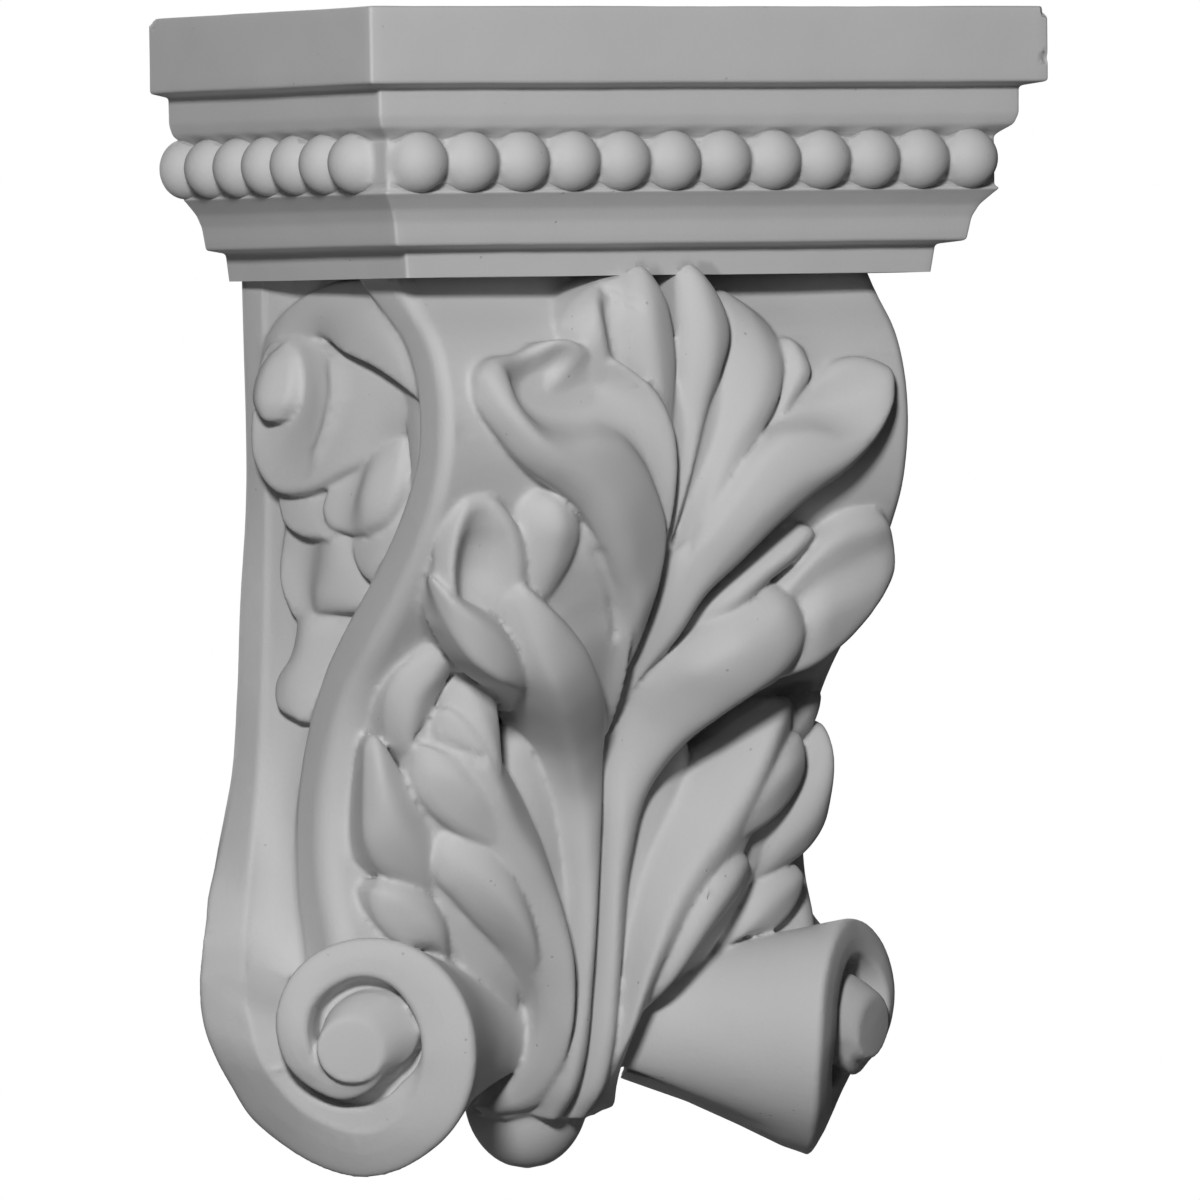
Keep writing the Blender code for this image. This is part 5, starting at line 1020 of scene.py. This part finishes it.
def rounded(points, radius, steps=ARRIS_STEPS):
    """An open outline with its inner corners rounded."""
    made = [points[0]]
    for before, corner, after in zip(points, points[1:], points[2:]):
        before, corner, after = (np.array(p, float) for p in (before, corner, after))
        back, on = before - corner, after - corner
        reach = min(radius, ROUND_SHARE * np.linalg.norm(back), ROUND_SHARE * np.linalg.norm(on))
        start = corner + back / np.linalg.norm(back) * reach
        end = corner + on / np.linalg.norm(on) * reach
        for f in np.linspace(0.0, 1.0, steps + 1):
            made.append(tuple((1 - f)**2 * start + 2 * f * (1 - f) * corner + f**2 * end))
    made.append(points[-1])
    return made


def pieces_along(outline, step):
    """How many pieces each stretch of an outline is cut into so that none is longer than a step."""
    lengths = np.linalg.norm(np.diff(np.array(outline), axis=0), axis=1)
    return np.maximum(np.ceil(lengths / step), 1).astype(int)


def evened(outline, counts):
    """An open outline with each of its stretches cut into a number of pieces."""
    made = [outline[0]]
    for start, end, count in zip(outline, outline[1:], counts):
        start, end = np.array(start), np.array(end)
        made += [tuple(start + (end - start) * k / count) for k in range(1, count + 1)]
    return made


def cap_outline(inset, arris):
    """Half-width and depth points round the cap's sides and front, with softened mitres."""
    half = CAP_HALF - inset
    depth = CAP_DEPTH - inset
    corners = [(-half, -BEHIND_WALL), (-half, depth), (half, depth), (half, -BEHIND_WALL)]
    return rounded(corners, arris, MITRE_STEPS)


def build_cap(bm, arris):
    """The cap's mouldings, with a lid of narrow bands so that its top's edges take the pale worn and
    painted-highlight marks as its sides' do.
    """
    around = pieces_along(cap_outline(0.0, arris), CAP_STEP)
    profile = rounded([(0.0, CAP_HALF - LID_BAND), *CAP_PROFILE], arris)
    rings = []
    for drop, inset in evened(profile, pieces_along(profile, CAP_STEP)):
        rings.append([(x, d, TOP - drop) for x, d in evened(cap_outline(inset, arris), around)])
    skin(bm, rings)


def bead_places():
    """Centres of the beads along the front and both sides."""
    half = CAP_HALF - BEAD_INSET
    depth = CAP_DEPTH - BEAD_INSET
    for k in range(FRONT_BEADS):
        yield ((k - (FRONT_BEADS - 1) / 2) * BEAD_PITCH, depth)
    for k in range(SIDE_BEADS):
        for side in BOTH:
            yield (side * half, max(FIRST_SIDE_BEAD - k * BEAD_PITCH, LAST_SIDE_BEAD))


def build_beads(bm, radius, arris):
    """The row of beads, with a strip of the cap round them that they run softly into."""
    height = TOP - BEAD_DROP
    outer = cap_outline(BEAD_INSET - STRIP_PROUD, arris)
    inner = cap_outline(BEAD_INSET + STRIP_THICK, arris)
    plan = outer + inner[::-1]
    skin(bm, [[(x, d, height + rise) for x, d in plan] for rise in (-STRIP_HALF, STRIP_HALF)])
    for x, depth in bead_places():
        made = bmesh.ops.create_uvsphere(bm, u_segments=BEAD_SEGMENTS, v_segments=BEAD_RINGS, radius=radius)
        bmesh.ops.translate(bm, verts=made["verts"], vec=(x, -depth, height))


def build_chips(bm):
    """Rough lumps that knock the cap's edges away where it has been chipped."""
    for k, (x, depth, rise, radius) in enumerate(CHIPS):
        made = bmesh.ops.create_icosphere(bm, subdivisions=CHIP_FACETS, radius=radius)
        for vert in made["verts"]:
            vert.co *= 1.0 + CHIP_ROUGHNESS * waves(np.array(vert.co)[None] * CHIP_GRAIN + k)[0]
        bmesh.ops.translate(bm, verts=made["verts"], vec=(x, -depth, TOP + rise))


def apply_modifiers(obj):
    """Replaces an object's mesh with the one its modifiers make."""
    mesh = bpy.data.meshes.new_from_object(obj.evaluated_get(bpy.context.evaluated_depsgraph_get()))
    obj.modifiers.clear()
    obj.data = mesh


def boolean(obj, other, operation):
    """Joins another closed shape to an object or cuts it away, and removes that shape."""
    cut = obj.modifiers.new(operation.title(), "BOOLEAN")
    cut.operation = operation
    cut.object = other
    cut.solver = "MANIFOLD"
    apply_modifiers(obj)
    bpy.data.objects.remove(other)


def fuse(obj, voxel, triangles, softening=SOFTENING):
    """Makes overlapping closed shapes one skin, softens it and thins it."""
    remesh = obj.modifiers.new("Fuse", "REMESH")
    remesh.mode = "VOXEL"
    remesh.voxel_size = voxel
    smooth = obj.modifiers.new("Soften", "SMOOTH")
    smooth.factor = SOFTENING_FACTOR
    smooth.iterations = softening
    apply_modifiers(obj)
    thin = obj.modifiers.new("Thin", "DECIMATE")
    obj.data.calc_loop_triangles()
    thin.ratio = min(1.0, triangles / len(obj.data.loop_triangles))
    apply_modifiers(obj)


def build_bracket_and_foot(bm):
    """The bracket with what stands under it against the wall."""
    build_bracket(bm)
    build_foot(bm)
    for side in BOTH:
        build_root(bm, side)


def build_volutes(bm):
    """Both volutes, each with its horn, its side towards the wall, its ribbon and its knob."""
    for side in BOTH:
        build_horn(bm, side)
        build_back_fill(bm, side)
        build_scroll(bm, side)
        build_knob(bm, side)


def build_side_carving(bm):
    """The lobes in both sunk side panels."""
    for side in BOTH:
        for lobe in PANEL_LOBES.values():
            build_lobe(bm, side, lobe, on_panel, PANEL_STATIONS, PANEL_ACROSS)


def build_leaf(bm):
    """The lobes of the leaf, each on the sides of the front that it belongs to."""
    for lobe in LOBES.values():
        for side in lobe["sides"]:
            build_lobe(bm, side, lobe, on_front)


def made_piece(name):
    """A piece that an earlier step left in the scene."""
    piece = bpy.data.objects.get(name)
    if piece is None:
        raise RuntimeError(f"build the {name} before the casting")
    return piece


def gather(name, pieces):
    """Puts the meshes of several pieces into the first one's place, as one object."""
    bm = bmesh.new()
    for piece in pieces:
        bm.from_mesh(piece.data)
        bpy.data.objects.remove(piece)
    mesh = bpy.data.meshes.new(name)
    bm.to_mesh(mesh)
    bm.free()
    obj = bpy.data.objects.new(name, mesh)
    bpy.context.scene.collection.objects.link(obj)
    return obj


def stroke_share(points, line, width, through):
    """How strongly a worked line acts on each point, from 1 on it to 0 at its width.

    through is the axis the line is looked at along: 1 for the front, 0 for the sides.
    """
    flat = [k for k in range(3) if k != through]
    nearest = np.full(len(points), np.inf)
    for start, end in zip(line, line[1:]):
        along = end - start
        share = np.clip((points - start)[:, flat] @ along[flat] / (along[flat] @ along[flat]), 0.0, 1.0)
        away = points - (start + share[:, None] * along)
        reached = np.abs(away[:, through]) < STROKE_REACH
        nearest = np.minimum(nearest, np.where(reached, np.hypot(*away[:, flat].T), np.inf))
    return np.clip(1.0 - (nearest / width)**2, 0.0, 1.0)**2


def read_points(mesh):
    """Positions in millimetres and normals of a mesh's points, as two arrays."""
    points = np.empty(3 * len(mesh.vertices))
    normals = np.empty(3 * len(mesh.vertices))
    mesh.vertices.foreach_get("co", points)
    mesh.vertices.foreach_get("normal", normals)
    return points.reshape(-1, 3) / MM, normals.reshape(-1, 3)


def shift_points(mesh, points, normals, shift):
    """Moves points out along their normals, by a shift in millimetres for each."""
    mesh.vertices.foreach_set("co", ((points + normals * shift[:, None]) * MM).ravel())
    mesh.update()


def work_strokes(obj):
    """Cuts or raises the fine lines in the leaf's face and in the side panels."""
    points, normals = read_points(obj.data)
    shift = np.zeros(len(points))
    for width, depth, line in STROKES:
        line = np.array([(x, -d, z) for x, z, d in line])
        shift -= depth * stroke_share(points, line, width, 1) * (normals[:, 1] < -FRONT_FACING)
    for width, depth, line in PANEL_STROKES:
        for side in BOTH:
            placed = np.array([(side * (panel_half_width(z, d) + rise), -d, z) for d, z, rise in line])
            outward = side * normals[:, 0] > SIDE_FACING
            shift -= depth * stroke_share(points, placed, width, 0) * outward
    shift_points(obj.data, points, normals, shift)


def waves(points):
    """A smooth uneven value between about -1 and 1 at each point, from a few crossing waves."""
    total = np.zeros(len(points))
    for across, offset in WAVES:
        total += np.sin(points @ np.array(across) + offset)
    return total / len(WAVES)


def make_uneven(obj):
    """The slight rise and fall that a mould and a coat of primer leave on true surfaces."""
    points, normals = read_points(obj.data)
    shift = UNEVEN_LONG * waves(points / LONG_WAVE) + UNEVEN_SHORT * waves(points / SHORT_WAVE)
    shift_points(obj.data, points, normals, shift)


def mark_edges(obj):
    """Stores on each point how sharply the surface turns: up to 1 on edges, down to -1 in creases."""
    mesh = obj.data
    points, normals = read_points(mesh)
    ends = np.empty(2 * len(mesh.edges), np.int32)
    mesh.edges.foreach_get("vertices", ends)
    ends = ends.reshape(-1, 2)
    ends = np.concatenate([ends, ends[:, ::-1]])
    reach = np.linalg.norm(points[ends[:, 0]] - points[ends[:, 1]], axis=1)
    count = np.maximum(np.bincount(ends[:, 0], minlength=len(points)), 1)

    def mean(values):
        return np.bincount(ends[:, 0], weights=values, minlength=len(points)) / count

    around = np.stack([mean(points[ends[:, 1], k]) for k in range(3)], axis=1)
    turn = ((points - around) * normals).sum(axis=1) / mean(reach)**2
    for _ in range(EDGE_SPREAD):
        turn = (1.0 - EDGE_BLEND) * turn + EDGE_BLEND * mean(turn[ends[:, 1]])
    stored = mesh.attributes.new(EDGE_NAME, "FLOAT", "POINT")
    stored.data.foreach_set("value", np.clip(turn * EDGE_RADIUS, -1.0, 1.0).astype(np.float32))


def build_wall(bm):
    """The block behind the wall's plane that cuts the casting flat."""
    made = bmesh.ops.create_cube(bm, size=1.0)
    bmesh.ops.translate(bm, verts=made["verts"], vec=(0.0, 0.5, 0.0))
    bmesh.ops.scale(bm, verts=made["verts"], vec=WALL_BLOCK)


class Value:
    """A shader socket, or a number, that ordinary signs can add up."""

    def __init__(self, nodes, socket):
        self.nodes = nodes
        self.socket = socket

    def maths(self, operation, *values):
        """A new value worked out from others by one Math node."""
        node = self.nodes.add("ShaderNodeMath", {"operation": operation}, dict(enumerate(values)))
        return Value(self.nodes, node.outputs[0])

    def __add__(self, other):
        return self.maths("ADD", self, other)

    def __radd__(self, other):
        return self.maths("ADD", other, self)

    def __sub__(self, other):
        return self.maths("SUBTRACT", self, other)

    def __rsub__(self, other):
        return self.maths("SUBTRACT", other, self)

    def __mul__(self, other):
        return self.maths("MULTIPLY", self, other)

    def __rmul__(self, other):
        return self.maths("MULTIPLY", other, self)

    def between(self, low, high):
        """0 at or under the low value and 1 at or over the high one, smooth between."""
        node = self.nodes.add("ShaderNodeMapRange", {"interpolation_type": "SMOOTHSTEP", "clamp": True},
                              {"Value": self, "From Min": low, "From Max": high})
        return Value(self.nodes, node.outputs["Result"])


class Nodes:
    """The nodes of one shader tree."""

    def __init__(self, tree):
        self.tree = tree

    def add(self, kind, settings, inputs):
        """A new node, with its settings made first and then its sockets filled or linked."""
        node = self.tree.nodes.new(kind)
        for name, value in settings.items():
            setattr(node, name, value)
        for key, value in inputs.items():
            self.fill(node.inputs[key], value)
        return node

    def fill(self, socket, value):
        """Links a value to a socket, or sets the socket to a plain number, colour or vector."""
        if isinstance(value, Value):
            self.tree.links.new(value.socket, socket)
        else:
            socket.default_value = value

    def value(self, kind, output, settings, inputs):
        """One output of a new node, as a value."""
        return Value(self, self.add(kind, settings, inputs).outputs[output])

    def noise(self, place, scale, detail=2.0):
        """Even noise from 0 to 1, with so many lumps to the metre."""
        return self.value("ShaderNodeTexNoise", 0, {}, {"Vector": place, "Scale": scale, "Detail": detail})

    def mix(self, share, first, second):
        """A colour between two, by a share that can vary over the surface."""
        return self.value("ShaderNodeMix", 2, {"data_type": "RGBA"}, {0: share, 6: first, 7: second})


def opaque(colour):
    """A colour with its alpha."""
    return (*colour, 1.0)


def primer_material(finish):
    """Matt grey primer: faint mottling, pale edges that are partly worn and partly painted highlight,
    painted shade in the creases, grain and pinholes darkened with that shade's colour.
    """
    material = bpy.data.materials.new("grey_primer")
    material.use_nodes = True
    surface = material.node_tree.nodes["Principled BSDF"]
    nodes = Nodes(material.node_tree)
    place = nodes.value("ShaderNodeTexCoord", "Object", {}, {})
    edge = nodes.value("ShaderNodeAttribute", "Fac", {"attribute_name": EDGE_NAME}, {})
    mottle = nodes.noise(place, *MOTTLE)
    speckle = nodes.noise(place, *SPECKLE)
    patches = nodes.noise(place, *PATCHES)
    # Pale edges: partly worn primer, partly a painted highlight on every outward edge
    worn_and_highlight = edge.between(*WORN_HIGHLIGHT_TURN) * patches.between(*WORN_HIGHLIGHT_PATCHES)
    # Painted shade: a mask that darkens the creases, where shade falls
    crease_shade = (0.0 - edge).between(*CREASE_SHADE_TURN)
    spots = nodes.value("ShaderNodeTexVoronoi", "Distance", {}, {"Vector": place, "Scale": PINHOLE_CELLS})
    pinholes = (1.0 - spots.between(*PINHOLE_SIZE)) * patches.between(*PINHOLE_PATCHES)
    coat = nodes.mix(MOTTLE_SHARE * mottle + SPECKLE_SHARE * speckle,
                     opaque(finish.primer), opaque(finish.worn_and_highlight))
    # The edges get the pale colour, partly as wear and partly as painted highlight
    coat = nodes.mix(WORN_HIGHLIGHT_SHARE * worn_and_highlight, coat, opaque(finish.worn_and_highlight))
    # The creases get painted shade, and the pinholes are darkened with the same colour
    coat = nodes.mix(CREASE_SHADE_SHARE * crease_shade + PINHOLE_SHARE * pinholes, coat, opaque(finish.crease_shade))
    rough = finish.roughness + MOTTLE_ROUGHNESS * mottle - WORN_ROUGHNESS * worn_and_highlight + CREASE_ROUGHNESS * crease_shade
    height = speckle * SPECKLE_GRAIN + patches * PATCHES_GRAIN - pinholes * PINHOLE_GRAIN
    grain = nodes.value("ShaderNodeBump", "Normal", {},
                        {"Height": height, "Distance": finish.grain, "Strength": GRAIN_STRENGTH})
    for name, value in {"Base Color": coat, "Roughness": rough, "Normal": grain,
                        "Specular IOR Level": SHEEN_LEVEL}.items():
        nodes.fill(surface.inputs[name], value)
    return material


def plain_material(name, colour):
    """A matt material of one colour, for the floor."""
    material = bpy.data.materials.new(name)
    material.use_nodes = True
    surface = material.node_tree.nodes["Principled BSDF"]
    surface.inputs["Base Color"].default_value = opaque(colour)
    surface.inputs["Roughness"].default_value = FLOOR_ROUGHNESS
    return material


def direction(azimuth, elevation):
    """Unit vector from the corbel towards a place, by the angles it is seen at."""
    return np.array([math.sin(azimuth) * math.cos(elevation), -math.cos(azimuth) * math.cos(elevation),
                     math.sin(elevation)])


def make_camera():
    """A long-lens camera a little above the middle, to the left of the front."""
    toward = direction(VIEW_AZIMUTH, VIEW_PITCH)
    right = np.cross(-toward, (0.0, 0.0, 1.0))
    right /= np.linalg.norm(right)
    up = np.cross(toward, right)
    turned_right = right * math.cos(VIEW_ROLL) - up * math.sin(VIEW_ROLL)
    turned_up = up * math.cos(VIEW_ROLL) + right * math.sin(VIEW_ROLL)
    corner = np.array([-CAP_HALF, -CAP_DEPTH, TOP])
    place = corner + toward * CORNER_AHEAD + turned_right * CORNER_LEFT - turned_up * CORNER_UP
    data = bpy.data.cameras.new("camera")
    data.lens = VIEW_LENS
    data.clip_end = VIEW_REACH
    camera = bpy.data.objects.new("camera", data)
    bpy.context.scene.collection.objects.link(camera)
    turned = Matrix((turned_right.tolist(), turned_up.tolist(), toward.tolist())).transposed()
    camera.matrix_world = Matrix.Translation(Vector(place) * MM) @ turned.to_4x4()
    bpy.context.scene.camera = camera


def make_light(name, power, azimuth, elevation, radius):
    """A round studio light that points at the middle of the back."""
    data = bpy.data.lights.new(name, "SPOT")
    data.energy = power
    data.shadow_soft_size = radius
    data.spot_size = BEAM_ANGLE
    data.spot_blend = BEAM_BLEND
    light = bpy.data.objects.new(name, data)
    bpy.context.scene.collection.objects.link(light)
    spot = direction(math.radians(azimuth), math.radians(elevation)) * LIGHT_DISTANCE
    light.location = spot
    light.rotation_euler = Vector(spot).to_track_quat("Z", "Y").to_euler()


def make_surroundings(stage):
    """A dim studio that the camera sees as plain white."""
    world = bpy.data.worlds.new("studio")
    bpy.context.scene.world = world
    world.use_nodes = True
    nodes = Nodes(world.node_tree)
    seen = nodes.value("ShaderNodeLightPath", "Is Camera Ray", {}, {})
    colour = nodes.mix(seen, opaque([stage.ambient] * 3), opaque(stage.backdrop))
    nodes.fill(world.node_tree.nodes["Background"].inputs["Color"], colour)
    bpy.context.scene.view_settings.view_transform = "Standard"


def build_floor(bm):
    """A round floor, well below the corbel."""
    bmesh.ops.create_circle(bm, cap_ends=True, segments=FLOOR_SEGMENTS, radius=FLOOR_RADIUS)
    bmesh.ops.translate(bm, verts=bm.verts, vec=(0.0, 0.0, FLOOR_HEIGHT))


class CorbelSizes(bpy.types.PropertyGroup):
    """Sizes of the casting."""

    bead: FloatProperty(
        name="Bead radius", description="Radius of each bead under the cap's top fascia",
        default=BEAD_RADIUS * MM, min=0.004, max=0.009, precision=4, subtype="DISTANCE", unit="LENGTH")
    arris: FloatProperty(
        name="Cap edge radius", description="Radius that the cap's edges are softened to",
        default=ARRIS * MM, min=0.0002, max=0.002, precision=4, subtype="DISTANCE", unit="LENGTH")
    voxel: FloatProperty(
        name="Fusing size", description="How finely the carved shapes are fused into one skin",
        default=VOXEL * MM, min=0.0005, max=0.003, precision=4, subtype="DISTANCE", unit="LENGTH")
    triangles: IntProperty(
        name="Triangles", description="Triangles kept in the fused carving",
        default=TRIANGLES, min=20000, max=170000)


class CorbelFinish(bpy.types.PropertyGroup):
    """Colours and texture of the primer, with its painted edge highlight and its painted crease shade."""

    primer: FloatVectorProperty(
        name="Primer", description="Colour of the primer coat", default=PRIMER, min=0.0, max=1.0,
        subtype="COLOR")
    # Pale colour of the edges, partly worn primer and partly painted highlight; the mottling also leans
    # towards it
    worn_and_highlight: FloatVectorProperty(
        name="Worn edges", description="Colour where handling has rubbed the primer", default=WORN_AND_HIGHLIGHT,
        min=0.0, max=1.0, subtype="COLOR")
    # Colour of the painted shade in the creases, also given to the pinholes
    crease_shade: FloatVectorProperty(
        name="Creases", description="Colour of the dust held in creases and pinholes", default=CREASE_SHADE,
        min=0.0, max=1.0, subtype="COLOR")
    roughness: FloatProperty(
        name="Roughness", description="Least roughness of the primer", default=ROUGHNESS, min=0.0, max=1.0,
        subtype="FACTOR")
    grain: FloatProperty(
        name="Grain depth", description="Depth of the primer's fine grain", default=GRAIN, min=0.0,
        max=0.001, precision=5, subtype="DISTANCE", unit="LENGTH")


class CorbelStage(bpy.types.PropertyGroup):
    """Lights and surroundings."""

    key: FloatProperty(
        name="Key light", description="Power of the main light", default=KEY_POWER, min=0.0, max=1000.0,
        subtype="POWER", unit="POWER")
    fill: FloatProperty(
        name="Fill light", description="Power of the low light at the left", default=FILL_POWER, min=0.0,
        max=1000.0, subtype="POWER", unit="POWER")
    back: FloatProperty(
        name="Back light", description="Power of the light behind the wall side", default=BACK_POWER,
        min=0.0, max=1000.0, subtype="POWER", unit="POWER")
    ambient: FloatProperty(
        name="Ambient", description="Brightness of the studio around the corbel", default=AMBIENT, min=0.0,
        max=1.0, subtype="FACTOR")
    backdrop: FloatVectorProperty(
        name="Backdrop", description="Colour seen behind the corbel", default=BACKDROP, min=0.0,
        max=1.0, subtype="COLOR")


class CORBEL_OT_cap(bpy.types.Operator):
    """Build the moulded cap, with its row of beads and its chipped edges"""

    bl_idname = "corbel.cap"
    bl_label = "Cap"

    def execute(self, context):
        sizes = context.scene.corbel_sizes
        cap = new_object("cap", lambda bm: build_cap(bm, sizes.arris / MM))
        make_uneven(cap)
        beads = new_object("beads", lambda bm: build_beads(bm, sizes.bead / MM, sizes.arris / MM))
        fuse(beads, sizes.voxel, BEAD_TRIANGLES, BEAD_SOFTENING)
        make_uneven(beads)
        boolean(cap, beads, "UNION")
        boolean(cap, new_object("chips", build_chips), "DIFFERENCE")
        return {"FINISHED"}


class CORBEL_OT_bracket(bpy.types.Operator):
    """Build the scrolled bracket, its foot and the roots of the horns"""

    bl_idname = "corbel.bracket"
    bl_label = "Bracket"

    def execute(self, context):
        new_object("bracket", build_bracket_and_foot)
        return {"FINISHED"}


class CORBEL_OT_volutes(bpy.types.Operator):
    """Build the two flared horns, their winding ribbons and knobs"""

    bl_idname = "corbel.volutes"
    bl_label = "Volutes"

    def execute(self, context):
        new_object("volutes", build_volutes)
        return {"FINISHED"}


class CORBEL_OT_side_carving(bpy.types.Operator):
    """Build the rosette and husks in the sunk side panels"""

    bl_idname = "corbel.side_carving"
    bl_label = "Side carving"

    def execute(self, context):
        new_object("side_carving", build_side_carving)
        return {"FINISHED"}


class CORBEL_OT_leaf(bpy.types.Operator):
    """Build the lobes of the acanthus leaf on the front"""

    bl_idname = "corbel.leaf"
    bl_label = "Leaf"

    def execute(self, context):
        new_object("leaf", build_leaf)
        return {"FINISHED"}


class CORBEL_OT_casting(bpy.types.Operator):
    """Fuse the pieces into one casting, cut it flat at the wall and give it its primer"""

    bl_idname = "corbel.casting"
    bl_label = "Casting"

    def execute(self, context):
        sizes = context.scene.corbel_sizes
        pieces = [made_piece(name) for name in ("bracket", "volutes", "side_carving", "leaf")]
        casting = made_piece("cap")
        casting.name = "corbel_casting"
        carved = gather("carved", pieces)
        fuse(carved, sizes.voxel, sizes.triangles)
        work_strokes(carved)
        make_uneven(carved)
        boolean(casting, carved, "UNION")
        boolean(casting, new_object("wall", build_wall), "DIFFERENCE")
        mark_edges(casting)
        casting.data.materials.clear()
        casting.data.materials.append(primer_material(context.scene.corbel_finish))
        casting.data.polygons.foreach_set("use_smooth", [True] * len(casting.data.polygons))
        casting.data.set_sharp_from_angle(angle=SHARP_ANGLE)
        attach(casting, "root")
        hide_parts("corbel")
        return {"FINISHED"}


class CORBEL_OT_stage(bpy.types.Operator):
    """Set up the camera, the studio lights, the backdrop and the floor"""

    bl_idname = "corbel.stage"
    bl_label = "Stage"

    def execute(self, context):
        stage = context.scene.corbel_stage
        make_camera()
        for (name, *place), power in zip(LIGHTS, (stage.key, stage.fill, stage.back)):
            make_light(name, power, *place)
        make_surroundings(stage)
        floor = new_object("floor", build_floor)
        floor.data.materials.append(plain_material("pale_floor", FLOOR_COLOUR))
        floor.visible_diffuse = False
        return {"FINISHED"}


OPERATORS = (
    CORBEL_OT_cap, CORBEL_OT_bracket, CORBEL_OT_volutes, CORBEL_OT_side_carving, CORBEL_OT_leaf,
    CORBEL_OT_casting, CORBEL_OT_stage,
)
GROUPS = {"corbel_sizes": CorbelSizes, "corbel_finish": CorbelFinish, "corbel_stage": CorbelStage}


class CORBEL_PT_build(bpy.types.Panel):
    """Steps that build the corbel, with their sizes and colours"""

    bl_label = "Corbel"
    bl_space_type = "VIEW_3D"
    bl_region_type = "UI"
    bl_category = "Corbel"

    def draw(self, context):
        for name, group in GROUPS.items():
            column = self.layout.column(align=True)
            for setting in group.__annotations__:
                column.prop(getattr(context.scene, name), setting)
        column = self.layout.column(align=True)
        for operator in OPERATORS:
            column.operator(operator.bl_idname)


CLASSES = (*GROUPS.values(), *OPERATORS, CORBEL_PT_build)


def register():
    for cls in CLASSES:
        bpy.utils.register_class(cls)
    for name, group in GROUPS.items():
        setattr(bpy.types.Scene, name, PointerProperty(type=group))


def unregister():
    for name in GROUPS:
        delattr(bpy.types.Scene, name)
    for cls in reversed(CLASSES):
        bpy.utils.unregister_class(cls)


def main():
    register()
    bpy.ops.corbel.cap()
    bpy.ops.corbel.bracket()
    bpy.ops.corbel.volutes()
    bpy.ops.corbel.side_carving()
    bpy.ops.corbel.leaf()
    bpy.ops.corbel.casting()
    bpy.ops.corbel.stage()


if __name__ == "__main__":
    main()
